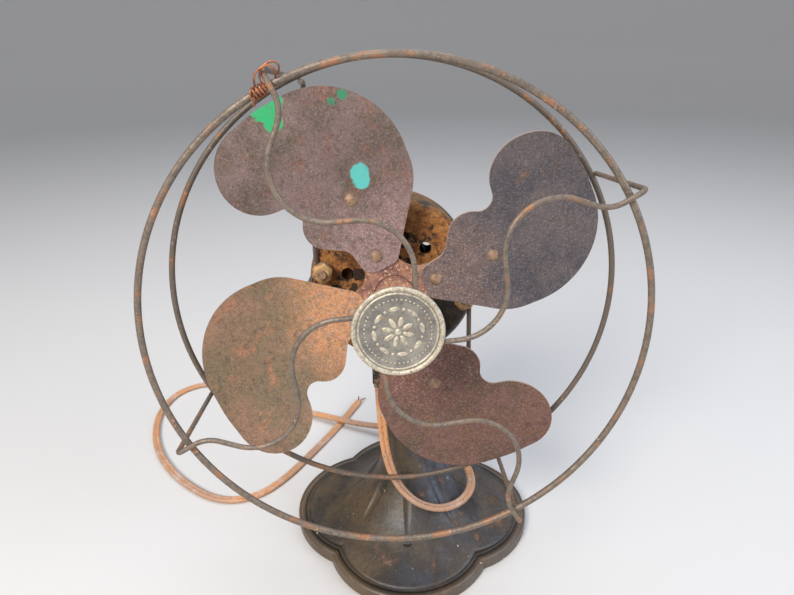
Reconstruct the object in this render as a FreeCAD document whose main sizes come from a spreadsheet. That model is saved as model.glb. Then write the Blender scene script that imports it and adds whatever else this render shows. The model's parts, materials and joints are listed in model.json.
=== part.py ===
import FreeCAD, Part
import math
import os
import Sketcher

# A small desk fan: a fluted quatrefoil stand, a tilting motor, four riveted blades and a wire cage.
# Millimetres. +Z is up, the fan blows towards -Y, and the origin is the centre of the stand's underside.

Vector = FreeCAD.Vector
Placement = FreeCAD.Placement
Rotation = FreeCAD.Rotation

SIZES = [
    # stand
    ("base_radius", 69.5, "centre to the tip of a lobe"),
    ("lobe_radius", 46.8, "radius of one lobe of the quatrefoil"),
    ("base_turn", -6.0, "degrees the base stands turned under the neck"),
    ("rim_width", 6.2, "flat band round the base"),
    ("rim_height", 6.2, "top of that band above the table"),
    ("rim_round", 2.0, "rounding of the band's outer edge"),
    ("foot_gap", 0.6, "rim above the table, with the felt proud of it"),
    ("column_radius", 15.5, "fluted column"),
    ("column_height", 88.0, "top of the casting"),
    ("flare_start", 60.0, "height where the column starts to flare"),
    ("flare_radius", 53.8, "radius of the flare's curve"),
    ("casting_wall", 3.5, "wall of the casting"),
    ("flute_radius", 5.5, "cutter radius of a flute"),
    ("flute_depth", 1.9, "depth of a flute on the column"),
    ("flute_run_out", 46.0, "radius the cutter lifts along"),
    ("flute_count", 8, "flutes round the column"),
    ("cavity_radius", 50.0, "opening of the hollow under the base"),
    ("plate_thickness", 1.2, "steel plate under the base"),
    ("felt_thickness", 1.6, "felt pad under the plate"),
    ("plate_inset", 7.0, "outline of the casting to the recess"),
    ("fit_gap", 0.3, "clearance between seated pieces"),
    ("boss_circle", 38.0, "screw bosses from the centre"),
    ("boss_radius", 4.0, "screw boss"),
    ("base_screw_radius", 1.7, "screw that holds the plate"),
    # tilting joint
    ("pivot_height", 104.0, "tilt axis above the table"),
    ("post_radius", 8.0, "stem of the post in the column"),
    ("post_depth", 18.0, "length of that stem"),
    ("post_collar", 3.0, "thickness of the post's collar"),
    ("ear_radius", 9.0, "round end of both ears"),
    ("ear_thickness", 7.6, "each ear along the tilt axis"),
    ("saddle_thickness", 2.4, "saddle between the motor and the head's ear"),
    ("saddle_width", 26.0, "that saddle, across"),
    ("saddle_length", 21.0, "that saddle, along the fan axis"),
    ("neck_screw_radius", 1.4, "screws that hold the saddle"),
    ("washer_thickness", 0.8, "friction washer between the ears"),
    ("pivot_radius", 3.0, "tilt bolt"),
    ("running_gap", 0.05, "radial clearance of turning fits"),
    ("head_tilt", 5.4, "degrees the fan points up"),
    ("neck_drop", 12.0, "motor shell down to the tilt axis"),
    ("pivot_back", 38.7, "blade plane back to the tilt axis"),
    # motor
    ("motor_radius", 42.0, "motor shell"),
    ("motor_front", 22.0, "blade plane back to the front face"),
    ("motor_length", 40.0, "front face to rear face"),
    ("shell_wall", 1.6, "motor shell"),
    ("shell_round", 5.0, "rounded edge of the shell"),
    ("motor_turn", -13.0, "degrees the motor is turned in the head"),
    ("bolt_circle", 35.5, "through bolts from the fan axis"),
    ("bolt_radius", 2.1, "through bolt"),
    ("bolt_reach", 12.0, "bolt end in front of the motor's face"),
    ("nut_width", 9.0, "across the flats of a bolt nut"),
    ("nut_height", 4.0, "bolt nut"),
    ("vent_circle", 23.5, "vent holes from the fan axis"),
    ("vent_radius", 3.0, "vent hole"),
    ("vent_count", 12, "vent holes in each shell"),
    ("housing_radius", 8.0, "bearing housing"),
    ("housing_reach", 8.0, "housing in front of the shell's face"),
    ("housing_depth", 6.0, "housing inside the shell"),
    ("bearing_radius", 5.5, "bearing bush"),
    ("shaft_radius", 3.0, "shaft"),
    ("core_length", 18.0, "stator and rotor stacks"),
    ("rotor_radius", 18.0, "rotor"),
    ("air_gap", 0.5, "rotor to stator"),
    ("pole_width", 16.0, "stator pole"),
    ("yoke_radius", 31.0, "inside of the stator's ring"),
    # blades
    ("tip_radius", 101.0, "blade tips from the fan axis"),
    ("blade_root", 14.3, "inner end of a blade from the fan axis"),
    ("blade_thickness", 1.0, "blade sheet"),
    ("blade_pitch", 11.5, "degrees"),
    ("blade_camber", 300.0, "radius a blade is curved to"),
    ("blade_turn", 22.1, "degrees of the first blade from straight up"),
    ("blade_count", 4, "blades"),
    ("arm_width", 15.0, "spider arm"),
    ("arm_thickness", 1.6, "spider arm"),
    ("spider_thickness", 2.0, "flat middle of the spider"),
    ("spider_radius", 21.0, "flat middle of the spider"),
    ("spider_depth", 4.6, "blade plane back to the spider's rear face"),
    ("scoop_circle", 27.6, "scoops between the arms, from the fan axis"),
    ("scoop_radius", 12.0, "scoop between two arms"),
    ("hub_radius", 9.5, "hub collar"),
    ("rivet_inner", 20.9, "inner rivet from the fan axis"),
    ("rivet_outer", 48.9, "outer rivet from the fan axis"),
    ("rivet_head", 3.0, "radius of a rivet's head"),
    ("rivet_shank", 1.5, "radius of a rivet's shank"),
    # cage
    ("front_ring_radius", 102.0, "front ring's centre line"),
    ("rear_ring_radius", 105.4, "rear ring's centre line"),
    ("front_ring_reach", 41.5, "front ring in front of the blade plane"),
    ("rear_ring_back", 10.0, "rear ring behind the blade plane"),
    ("ring_wire", 2.8, "diameter of the rings' wire"),
    ("spoke_wire", 2.2, "diameter of the spokes' wire"),
    ("support_wire", 2.4, "diameter of the cage supports' wire"),
    ("support_upper", 112.0, "degrees to the upper end of the left cage support"),
    ("support_lower", 220.5, "degrees to its lower end"),
    ("cage_turn", 29.3, "degrees of the first spoke's tip from +X"),
    ("spoke_count", 4, "spokes"),
    ("tie_wire", 1.0, "diameter of the copper wire beside that spoke"),
    ("loose_spoke", 2, "the spoke that is tied on with wire"),
    ("loose_spoke_turn", -4.5, "degrees that spoke has slipped round"),
    ("badge_radius", 18.7, "badge in the middle of the cage"),
    ("badge_thickness", 2.0, "badge at its rim"),
    # cord
    ("cord_diameter", 4.4, "cord, as a plain round tube"),
    ("conductor_diameter", 1.0, "each bared conductor"),
    ("relief_reach", 18.0, "strain relief below the motor"),
    ("relief_radius", 3.6, "outside of the strain relief spring"),
    ("relief_wire", 0.9, "wire of that spring"),
    ("relief_side", -9.0, "strain relief beside the fan axis"),
    ("relief_gap", 4.4, "strain relief in front of the stator stack"),
]

FULL_TURN = 360.0
PIECES = []

doc = FreeCAD.newDocument("desk_fan")
sheet = doc.addObject("Spreadsheet::Sheet", "Sizes")


class Size:
    """A size from the sheet: its value now, and the formula that keeps a property bound to it."""

    def __init__(self, value, formula):
        self.value = float(value)
        self.formula = formula

    def __add__(self, other):
        other = as_size(other)
        return Size(self.value + other.value, f"({self.formula} + {other.formula})")

    def __sub__(self, other):
        other = as_size(other)
        return Size(self.value - other.value, f"({self.formula} - {other.formula})")

    def __mul__(self, other):
        other = as_size(other)
        return Size(self.value * other.value, f"({self.formula} * {other.formula})")

    def __truediv__(self, other):
        other = as_size(other)
        return Size(self.value / other.value, f"({self.formula} / {other.formula})")

    def __neg__(self):
        return Size(-self.value, f"(0 - {self.formula})")

    def __radd__(self, other):
        return as_size(other) + self

    def __rsub__(self, other):
        return as_size(other) - self

    def __rmul__(self, other):
        return as_size(other) * self

    def __float__(self):
        return self.value


def as_size(number):
    return number if isinstance(number, Size) else Size(number, repr(float(number)))


class Sheet:
    """Sizes by name, as in s.motor_radius."""

    def __getattr__(self, name):
        return Size(sheet.get(name), f"Sizes.{name}")


def fill_sheet():
    for row, (name, value, note) in enumerate(SIZES, start=1):
        sheet.set(f"A{row}", name)
        sheet.set(f"B{row}", str(value))
        sheet.set(f"C{row}", note)
        sheet.setAlias(f"B{row}", name)
    doc.recompute()


def bind(thing, name, size):
    """Set a property and bind it to the sheet."""
    size = as_size(size)
    thing.setExpression(name, size.formula)


def piece(thing, label, placement=None):
    """Name a sub-part, put it in place and list it for writing."""
    thing.Label = label
    if placement is not None:
        thing.Placement = placement.multiply(thing.Placement)
    PIECES.append(thing)
    return thing


# ---------------------------------------------------------------- sketches and bodies

def origin_plane(body, role):
    for feature in body.Origin.OriginFeatures:
        if feature.Role == role:
            return feature
    raise ValueError(role)


def new_sketch(body, name, role="XY_Plane", offset=None):
    """A sketch on one of the body's own planes, lifted off it by offset."""
    sketch = body.newObject("Sketcher::SketchObject", name)
    sketch.AttachmentSupport = (origin_plane(body, role), [""])
    sketch.MapMode = "FlatFace"
    if offset is not None:
        bind(sketch, "AttachmentOffset.Base.z", offset)
    return sketch


def hold_point(sketch, geometry, position, x=None, y=None):
    """Tie one point of a sketch to its distances from the origin."""
    for kind, distance in (("DistanceX", x), ("DistanceY", y)):
        if distance is None:
            continue
        distance = as_size(distance)
        index = sketch.addConstraint(Sketcher.Constraint(kind, -1, 1, geometry, position, distance.value))
        sketch.setExpression(f"Constraints[{index}]", distance.formula)


def add_outline(sketch, points):
    """A closed outline of straight lines through points, each one tied to the sheet."""
    corners = [Vector(float(x), float(y), 0) for x, y in points]
    first = sketch.GeometryCount
    count = len(corners)
    for index in range(count):
        sketch.addGeometry(Part.LineSegment(corners[index], corners[(index + 1) % count]))
    for index in range(count):
        following = (index + 1) % count
        sketch.addConstraint(Sketcher.Constraint("Coincident", first + index, 2, first + following, 1))
        hold_point(sketch, first + index, 1, *points[index])


def add_circle(sketch, x, y, radius):
    radius = as_size(radius)
    centre = Vector(float(x), float(y), 0)
    circle = sketch.addGeometry(Part.Circle(centre, Vector(0, 0, 1), radius.value))
    hold_point(sketch, circle, 3, x, y)
    index = sketch.addConstraint(Sketcher.Constraint("Radius", circle, radius.value))
    sketch.setExpression(f"Constraints[{index}]", radius.formula)


def turned_body(name, points):
    """A body turned about Z from points given as (radius, height)."""
    body = doc.addObject("PartDesign::Body", name)
    sketch = new_sketch(body, name + "_profile", "XZ_Plane")
    add_outline(sketch, points)
    turning = body.newObject("PartDesign::Revolution", name + "_turning")
    turning.Profile = (sketch, [""])
    turning.ReferenceAxis = (sketch, ["V_Axis"])
    turning.Angle = FULL_TURN
    doc.recompute()
    return body


def pad(body, sketch, length):
    feature = body.newObject("PartDesign::Pad", sketch.Name + "_pad")
    feature.Profile = (sketch, [""])
    bind(feature, "Length", length)
    doc.recompute()
    return feature


def pocket(body, sketch, length=None, upward=False):
    """Cut a sketch away, right through the body or to a length, and make sure that it did cut."""
    before = body.Shape.Volume
    feature = body.newObject("PartDesign::Pocket", sketch.Name + "_cut")
    feature.Profile = (sketch, [""])
    feature.Reversed = upward
    if length is None:
        feature.Type = "ThroughAll"
        feature.Midplane = True
    else:
        bind(feature, "Length", length)
    doc.recompute()
    if body.Shape.Volume >= before:
        raise ValueError(feature.Name + " cuts nothing")
    return feature


def repeat_round(body, feature, count):
    """Repeat a feature evenly round the body's Z axis."""
    pattern = body.newObject("PartDesign::PolarPattern", feature.Name + "_round")
    pattern.Originals = [feature]
    pattern.Axis = (origin_plane(body, "Z_Axis"), [""])
    pattern.Angle = FULL_TURN
    bind(pattern, "Occurrences", count)
    body.Tip = pattern
    doc.recompute()
    return pattern


def drill(body, x, y, radius, count=None, name="hole"):
    """Round holes along Z, right through the body, and repeated round the axis."""
    sketch = new_sketch(body, f"{body.Name}_{name}")
    add_circle(sketch, x, y, radius)
    hole = pocket(body, sketch)
    if count is not None:
        repeat_round(body, hole, count)


def circular_edges(shape, radius, height):
    """Names of the round edges of a turned shape with this radius at this height."""
    names = []
    for index, edge in enumerate(shape.Edges, start=1):
        curve = edge.Curve
        if not isinstance(curve, Part.Circle):
            continue
        if abs(curve.Radius - float(radius)) < 0.01 and abs(curve.Center.z - float(height)) < 0.01:
            names.append(f"Edge{index}")
    return names


def round_edge(body, radius, height, size, name):
    base = body.Tip
    edges = circular_edges(base.Shape, radius, height)
    fillet = body.newObject("PartDesign::Fillet", f"{body.Name}_{name}")
    fillet.Base = (base, edges)
    bind(fillet, "Radius", size)
    doc.recompute()


# ---------------------------------------------------------------- primitives and booleans

def cylinder(name, radius, height, base=Vector(), axis=Vector(0, 0, 1)):
    solid = doc.addObject("Part::Cylinder", name)
    bind(solid, "Radius", radius)
    bind(solid, "Height", height)
    solid.Placement = Placement(base, Rotation(Vector(0, 0, 1), axis))
    return solid


def box(name, lengths, corner):
    solid = doc.addObject("Part::Box", name)
    for edge, length in zip(("Length", "Width", "Height"), lengths):
        bind(solid, edge, length)
    for letter, place in zip("xyz", corner):
        bind(solid, f"Placement.Base.{letter}", place)
    return solid


def cut(name, base, tool):
    result = doc.addObject("Part::Cut", name)
    result.Base = base
    result.Tool = tool
    doc.recompute()
    return result


def fuse(name, solids):
    result = doc.addObject("Part::MultiFuse", name)
    result.Shapes = solids
    result.Refine = True
    doc.recompute()
    return result


def shaped(name, shape):
    """A piece whose shape is worked out in code."""
    feature = doc.addObject("Part::Feature", name)
    feature.Shape = shape
    return feature


# ---------------------------------------------------------------- wire and cord

def rounded_wire(points, radii):
    """Straight runs through points, joined by tangent arcs of the given radii."""
    edges = []
    start = points[0]
    for before, corner, after, radius in zip(points, points[1:], points[2:], radii):
        to_before = (before - corner).normalize()
        to_after = (after - corner).normalize()
        half_turn = (math.pi - to_before.getAngle(to_after)) / 2
        tangent = radius * math.tan(half_turn)
        inward = (to_before + to_after).normalize()
        arc_start = corner + to_before * tangent
        arc_end = corner + to_after * tangent
        arc_middle = corner + inward * (radius / math.cos(half_turn) - radius)
        edges.append(Part.LineSegment(start, arc_start).toShape())
        edges.append(Part.Arc(arc_start, arc_middle, arc_end).toShape())
        start = arc_end
    edges.append(Part.LineSegment(start, points[-1]).toShape())
    return Part.Wire(edges)


def tube(wire, diameter):
    """A round rod along a wire, checked against its section times its length."""
    first = wire.Edges[0]
    start = first.valueAt(first.FirstParameter)
    circle = Part.makeCircle(float(diameter) / 2, start, first.tangentAt(first.FirstParameter))
    rod = wire.makePipeShell([Part.Wire(circle)], True, False)
    if rod.Volume < 0:
        rod.reverse()
    expected = math.pi * (float(diameter) / 2) ** 2 * wire.Length
    if abs(rod.Volume / expected - 1) > 0.02:
        raise ValueError(f"rod volume {rod.Volume:.1f} is not {expected:.1f}")
    return rod


def polar(radius, degrees, z=0.0):
    angle = math.radians(degrees)
    return Vector(float(radius) * math.cos(angle), float(radius) * math.sin(angle), float(z))


# ---------------------------------------------------------------- frames

def pivot_drop():
    """The fan axis down to the tilt axis."""
    return s.motor_radius + s.neck_drop


def core_place():
    """Height of the middle of the stator and rotor stacks."""
    return -(s.motor_front + s.motor_length / 2)


def relief_back():
    """The blade plane back to the strain relief."""
    return -core_place() - s.core_length / 2 - s.relief_gap


def head_frame():
    """Where the head is: X to the side, Y up and Z forwards along the fan axis, from the hub's centre."""
    tilt = Rotation(Vector(1, 0, 0), 90 - float(s.head_tilt))
    side = -float(s.ear_thickness + s.washer_thickness) + 0.4
    pivot = Placement(Vector(side, 0, float(s.pivot_height)), tilt)
    return pivot.multiply(Placement(Vector(0, float(pivot_drop()), float(s.pivot_back)), Rotation()))


def turned_in(frame, degrees):
    return frame.multiply(Placement(Vector(), Rotation(Vector(0, 0, 1), float(degrees))))


def base_frame():
    return Placement(Vector(), Rotation(Vector(0, 0, 1), float(s.base_turn)))


# ---------------------------------------------------------------- stand

def quatrefoil(sketch, inset):
    """Four lobes that meet in cusps, all moved in by inset."""
    offset = s.base_radius - s.lobe_radius
    radius = s.lobe_radius - inset
    reach = offset.value / math.sqrt(2)
    cusp = (reach + math.sqrt(radius.value ** 2 - reach ** 2)) / math.sqrt(2)
    half_angle = math.atan2(cusp, cusp - offset.value)
    first = sketch.GeometryCount
    centres = [(offset, 0), (0, offset), (-offset, 0), (0, -offset)]
    for index, (x, y) in enumerate(centres):
        middle = index * math.pi / 2
        circle = Part.Circle(Vector(float(x), float(y), 0), Vector(0, 0, 1), radius.value)
        arc = sketch.addGeometry(Part.ArcOfCircle(circle, middle - half_angle, middle + half_angle))
        hold_point(sketch, arc, 3, x, y)
        bound = sketch.addConstraint(Sketcher.Constraint("Radius", arc, radius.value))
        sketch.setExpression(f"Constraints[{bound}]", radius.formula)
    for index in range(4):
        following = first + (index + 1) % 4
        sketch.addConstraint(Sketcher.Constraint("Coincident", first + index, 2, following, 1))


def add_trumpet(sketch, radius, curve, foot, foot_radius, top):
    """The outline of a flared column: up the axis, down its side and out along one arc."""
    centre = (s.column_radius + s.flare_radius, s.flare_start)
    drop = float(centre[1] - foot)
    lowest = math.sqrt(max(curve.value ** 2 - (float(centre[0]) - float(foot_radius)) ** 2, 0))
    arc_end = Vector(float(foot_radius), float(centre[1]) - lowest, 0)
    arc_start = Vector(float(radius), float(s.flare_start), 0)
    corners = [Vector(0, float(foot), 0), Vector(0, float(top), 0), Vector(float(radius), float(top), 0)]
    for start, end in zip(corners, corners[1:] + [arc_start]):
        sketch.addGeometry(Part.LineSegment(start, end))
    angle_end = math.atan2(arc_end.y - float(centre[1]), arc_end.x - float(centre[0]))
    circle = Part.Circle(Vector(float(centre[0]), float(centre[1]), 0), Vector(0, 0, 1), curve.value)
    sketch.addGeometry(Part.ArcOfCircle(circle, math.pi, angle_end + 2 * math.pi))
    foot_corner = Vector(float(foot_radius), float(foot), 0)
    sketch.addGeometry(Part.LineSegment(arc_end, foot_corner))
    sketch.addGeometry(Part.LineSegment(foot_corner, corners[0]))
    for line, following in ((0, 1), (1, 2), (4, 5), (5, 0)):
        sketch.addConstraint(Sketcher.Constraint("Coincident", line, 2, following, 1))
    sketch.addConstraint(Sketcher.Constraint("Coincident", 2, 2, 3, 1))
    sketch.addConstraint(Sketcher.Constraint("Coincident", 3, 2, 4, 1))
    hold_point(sketch, 0, 1, 0, foot)
    hold_point(sketch, 1, 1, 0, top)
    hold_point(sketch, 2, 1, radius, top)
    hold_point(sketch, 2, 2, radius, s.flare_start)
    hold_point(sketch, 3, 3, *centre)
    hold_point(sketch, 5, 1, foot_radius, foot)
    sketch.addConstraint(Sketcher.Constraint("Vertical", 4))


def turn_sketch(body, sketch, kind):
    """Add or cut away a sketch turned about the body's Z axis."""
    feature = body.newObject("PartDesign::" + kind, sketch.Name + "_turning")
    feature.Profile = (sketch, [""])
    feature.ReferenceAxis = (sketch, ["V_Axis"])
    feature.Angle = FULL_TURN
    doc.recompute()
    return feature


def cut_flutes(body):
    """Cut flutes down the column that lift out of the flare."""
    lift = s.flute_radius - s.flute_depth
    start = s.column_radius + lift
    path = new_sketch(body, "flute_path", "XZ_Plane")
    top = s.column_height + s.flute_radius
    path.addGeometry(Part.LineSegment(
        Vector(float(start), float(top), 0), Vector(float(start), float(s.flare_start), 0)))
    centre = start + s.flute_run_out
    arc_centre = Vector(float(centre), float(s.flare_start), 0)
    circle = Part.Circle(arc_centre, Vector(0, 0, 1), s.flute_run_out.value)
    path.addGeometry(Part.ArcOfCircle(circle, math.pi, 1.5 * math.pi))
    path.addConstraint(Sketcher.Constraint("Coincident", 0, 2, 1, 1))
    hold_point(path, 0, 1, start, top)
    hold_point(path, 0, 2, start, s.flare_start)
    hold_point(path, 1, 3, centre, s.flare_start)
    hold_point(path, 1, 2, centre)
    section = new_sketch(body, "flute_section", "XY_Plane", top)
    add_circle(section, start, 0, s.flute_radius)
    before = body.Shape.Volume
    flute = body.newObject("PartDesign::SubtractivePipe", "flute")
    flute.Profile = (section, [""])
    flute.Spine = (path, ["Edge1", "Edge2"])
    doc.recompute()
    if body.Shape.Volume >= before:
        raise ValueError("the flute cuts nothing")
    repeat_round(body, flute, s.flute_count)


def stand_casting():
    """The stand: quatrefoil base, flare and fluted column in one hollow casting."""
    body = doc.addObject("PartDesign::Body", "stand_casting")
    outside = new_sketch(body, "stand_profile", "XZ_Plane")
    add_trumpet(outside, s.column_radius, s.flare_radius, s.foot_gap, s.base_radius, s.column_height)
    turn_sketch(body, outside, "Revolution")

    outline = new_sketch(body, "base_outline")
    quatrefoil(outline, 0)
    add_circle(outline, 0, 0, s.base_radius * 1.5)
    pocket(body, outline)
    dome = new_sketch(body, "dome_outline", "XY_Plane", s.rim_height)
    quatrefoil(dome, s.rim_width)
    add_circle(dome, 0, 0, s.base_radius * 1.5)
    pocket(body, dome, s.column_height, upward=True)

    cut_flutes(body)

    hollow = new_sketch(body, "hollow_profile", "XZ_Plane")
    inner_radius = s.column_radius - s.casting_wall
    add_trumpet(hollow, inner_radius, s.flare_radius + s.casting_wall, 0, s.cavity_radius,
                s.column_height - s.post_depth)
    turn_sketch(body, hollow, "Groove")
    drill(body, 0, 0, s.post_radius + s.running_gap, name="post_bore")

    recess = new_sketch(body, "plate_recess")
    quatrefoil(recess, s.plate_inset)
    pocket(body, recess, s.felt_thickness + s.plate_thickness, upward=True)

    boss_foot = s.felt_thickness + s.plate_thickness
    boss = new_sketch(body, "screw_boss", "XY_Plane", boss_foot)
    add_circle(boss, s.boss_circle, 0, s.boss_radius)
    repeat_round(body, pad(body, boss, boss_top() - boss_foot), Size(4, "4"))
    pilot = new_sketch(body, "boss_pilot", "XY_Plane", 0)
    add_circle(pilot, s.boss_circle, 0, s.base_screw_radius)
    repeat_round(body, pocket(body, pilot, boss_top() - s.casting_wall / 2, upward=True), Size(4, "4"))

    return piece(body, "stand_casting", base_frame())


def boss_top():
    """Height inside the dome's wall over the middle of a boss."""
    across = float(s.column_radius + s.flare_radius - s.boss_circle)
    fall = math.sqrt(float(s.flare_radius) ** 2 - across ** 2)
    return as_size(float(s.flare_start) - fall - float(s.casting_wall) / 2)


def bottom_cover():
    """The steel plate that closes the casting, the felt under it and their four screws."""
    for label, foot, thickness in (("bottom_plate", s.felt_thickness, s.plate_thickness),
                                   ("bottom_felt", as_size(0), s.felt_thickness)):
        body = doc.addObject("PartDesign::Body", label)
        outline = new_sketch(body, label + "_outline", "XY_Plane", foot)
        quatrefoil(outline, s.plate_inset + s.fit_gap)
        pad(body, outline, thickness)
        head_room = 2 if label == "bottom_felt" else 1
        drill(body, s.boss_circle, 0, s.base_screw_radius * head_room + s.fit_gap, Size(4, "4"))
        piece(body, label, base_frame())
    screws = []
    head_height = s.felt_thickness * 0.7
    for index in range(4):
        centre = polar(s.boss_circle, 90 * index)
        shank_foot = Vector(centre.x, centre.y, float(s.felt_thickness - head_height))
        head = Part.makeCylinder(float(s.base_screw_radius * 2), float(head_height), shank_foot)
        length = float(boss_top() - s.casting_wall - s.felt_thickness + head_height)
        shank = Part.makeCylinder(float(s.base_screw_radius), length, shank_foot)
        screws.append(head.fuse(shank).removeSplitter())
    piece(shaped("bottom_screws", Part.makeCompound(screws)), "bottom_screws", base_frame())


# ---------------------------------------------------------------- tilting joint

def pivot_post():
    """The post in the column: a stem, a collar and an ear for the tilt bolt."""
    bottom = s.column_height - s.post_depth
    stem = cylinder("post_stem", s.post_radius, s.post_depth, Vector(0, 0, float(bottom)))
    collar_radius = s.column_radius - s.flute_depth
    collar = cylinder("post_collar_disc", collar_radius, s.post_collar, Vector(0, 0, float(s.column_height)))
    face = -s.ear_thickness / 2 + s.washer_thickness / 2
    collar_top = s.column_height + s.post_collar
    neck = box("post_neck", (s.ear_thickness, s.ear_radius * 2, s.pivot_height - collar_top),
               (face, -s.ear_radius, collar_top))
    ear = cylinder("post_ear", s.ear_radius, s.ear_thickness,
                   Vector(float(face), 0, float(s.pivot_height)), Vector(1, 0, 0))
    bore = cylinder("post_pin_bore", s.pivot_radius + s.running_gap, s.ear_thickness * 3,
                    Vector(-float(s.ear_thickness) * 1.5, 0, float(s.pivot_height)), Vector(1, 0, 0))
    solid = fuse("pivot_post_solid", [stem, collar, neck, ear])
    piece(cut("pivot_post", solid, bore), "pivot_post")


def tilt_bolt():
    """The tilt bolt through both ears, its washer and the wing nut that clamps them."""
    height = float(s.pivot_height)
    face = float(-s.ear_thickness / 2 + s.washer_thickness / 2)
    ear = float(s.ear_thickness)
    washer = float(s.washer_thickness)
    left = face - washer - ear
    right = face + ear
    radius = float(s.pivot_radius)
    along = Vector(1, 0, 0)
    nut_length = 6.0
    head = Part.makeCylinder(radius * 2, radius, Vector(left - radius, 0, height), along)
    shank_length = right - left + washer + nut_length + radius
    shank = Part.makeCylinder(radius, shank_length, Vector(left, 0, height), along)
    piece(shaped("pivot_bolt", head.fuse(shank).removeSplitter()), "pivot_bolt")

    bore = radius + float(s.running_gap)
    rings = []
    for start in (face - washer, right):
        disc = Part.makeCylinder(float(s.ear_radius) - 1, washer, Vector(start, 0, height), along)
        rings.append(disc.cut(Part.makeCylinder(bore, washer, Vector(start, 0, height), along)))
    piece(shaped("pivot_washers", Part.makeCompound(rings)), "pivot_washers")

    start = right + washer
    barrel = Part.makeCylinder(radius * 1.7, nut_length, Vector(start, 0, height), along)
    wing_span = float(s.pivot_height - s.column_height - s.post_collar) - 1.5
    wing = 2.2
    corner = Vector(start + nut_length * 0.4, -wing_span, height - wing / 2)
    wings = Part.makeBox(nut_length * 0.9, wing_span * 2, wing, corner)
    wings = wings.makeFillet(1.0, [edge for edge in wings.Edges if abs(edge.tangentAt(0).x) > 0.99])
    nut = barrel.fuse(wings)
    nut = nut.cut(Part.makeCylinder(bore, nut_length * 2, Vector(start - 1, 0, height), along))
    piece(shaped("wing_nut", nut.removeSplitter()), "wing_nut")


def neck_lug(frame):
    """The saddle under the motor with the head's ear, and its two screws behind the ear."""
    drop = pivot_drop()
    back = -s.pivot_back
    foot = -(s.motor_radius + s.saddle_thickness)
    width = s.saddle_width
    saddle_back = back - s.ear_radius * 2
    saddle_sides = (width, s.saddle_thickness * 2, s.saddle_length)
    saddle = box("lug_saddle", saddle_sides, (-width / 2, foot, saddle_back))
    neck = box("lug_neck", (s.ear_thickness, drop - s.motor_radius * 0.95, s.ear_radius * 1.7),
               (-s.ear_thickness / 2, -drop, back - s.ear_radius * 0.85))
    along = Vector(1, 0, 0)
    ear = cylinder("lug_ear", s.ear_radius, s.ear_thickness,
                   Vector(-float(s.ear_thickness) / 2, -float(drop), float(back)), along)
    solid = fuse("lug_solid", [saddle, neck, ear])
    seat = cylinder("lug_seat", s.motor_radius, s.motor_length * 2, Vector(0, 0, -float(s.motor_front) * 4))
    bore = cylinder("lug_bore", s.pivot_radius + s.running_gap, s.ear_thickness * 3,
                    Vector(-float(s.ear_thickness) * 1.5, -float(drop), float(back)), along)
    bored = cut("lug_bored", cut("lug_seated", solid, seat), bore)
    screws = []
    holes = []
    radius = float(s.neck_screw_radius)
    upward = Vector(0, 1, 0)
    for side in (-1, 1):
        place = Vector(side * float(width) / 3, float(foot), float(saddle_back) + radius * 2.2)
        inside = math.sqrt(float(s.motor_radius) ** 2 - place.x ** 2) - float(s.shell_wall) * 0.7
        shank = Part.makeCylinder(radius, -inside - place.y, place, upward)
        head = Part.makeCylinder(radius * 1.8, radius, place - upward * radius, upward)
        screws.append(head.fuse(shank).removeSplitter())
        holes.append(Part.makeCylinder(radius, -inside - place.y, place, upward))
    hole = shaped("lug_screw_holes", Part.makeCompound(holes))
    piece(cut("neck_lug", bored, hole), "neck_lug", frame)
    piece(shaped("neck_screws", Part.makeCompound(screws)), "neck_screws", frame)
    return hole


# ---------------------------------------------------------------- motor

def motor_shell(label, front, frame):
    """One drawn half of the motor's case, with a bearing housing, vents and bolt holes."""
    sign = 1 if front else -1
    face = -s.motor_front if front else -(s.motor_front + s.motor_length)
    seam = -(s.motor_front + s.motor_length / 2)
    inner = face - s.shell_wall if front else face + s.shell_wall
    reach = face + s.housing_reach * sign
    depth = face - (s.housing_depth + s.shell_wall) * sign
    skin = s.motor_radius - s.shell_wall
    points = [(s.bearing_radius, reach), (s.housing_radius, reach), (s.housing_radius, face),
              (s.motor_radius, face), (s.motor_radius, seam), (skin, seam), (skin, inner),
              (s.housing_radius, inner), (s.housing_radius, depth), (s.bearing_radius, depth)]
    body = turned_body(label, points)
    round_edge(body, s.motor_radius, face, s.shell_round, "outer_round")
    round_edge(body, skin, inner, s.shell_round - s.shell_wall, "inner_round")
    if front:
        drill(body, s.vent_circle, 0, s.vent_radius, s.vent_count, "vent")
    else:
        half_step = math.pi / float(s.vent_count)
        across = s.vent_circle * math.cos(half_step)
        drill(body, across, s.vent_circle * math.sin(half_step), s.vent_radius, s.vent_count, "vent")
    drill(body, s.bolt_circle, 0, s.bolt_radius, Size(2, "2"), "bolt")
    body.Placement = turned_in(Placement(), s.motor_turn)
    return body


def motor_case(frame, screw_holes):
    """Both shells. The front one is bored for the cord, the rear one for the neck's screws."""
    front = motor_shell("front_shell_body", True, frame)
    cord_hole = cylinder("cord_hole", s.relief_radius + 0.4, s.motor_radius,
                         Vector(float(s.relief_side), -float(s.motor_radius) * 1.5, -float(relief_back())),
                         Vector(0, 1, 0))
    piece(cut("motor_front_shell", front, cord_hole), "motor_front_shell", frame)
    rear = motor_shell("rear_shell_body", False, frame)
    copy = shaped("rear_screw_holes", screw_holes.Shape)
    piece(cut("motor_rear_shell", rear, copy), "motor_rear_shell", frame)


def bearings(frame):
    for label, front in (("front_bearing", True), ("rear_bearing", False)):
        sign = 1 if front else -1
        face = -s.motor_front if front else -(s.motor_front + s.motor_length)
        reach = face + s.housing_reach * sign
        depth = face - (s.housing_depth + s.shell_wall) * sign
        bore = s.shaft_radius + s.running_gap
        rim = s.bearing_radius
        body = turned_body(label, [(bore, reach), (rim, reach), (rim, depth), (bore, depth)])
        piece(body, label, frame)


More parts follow.
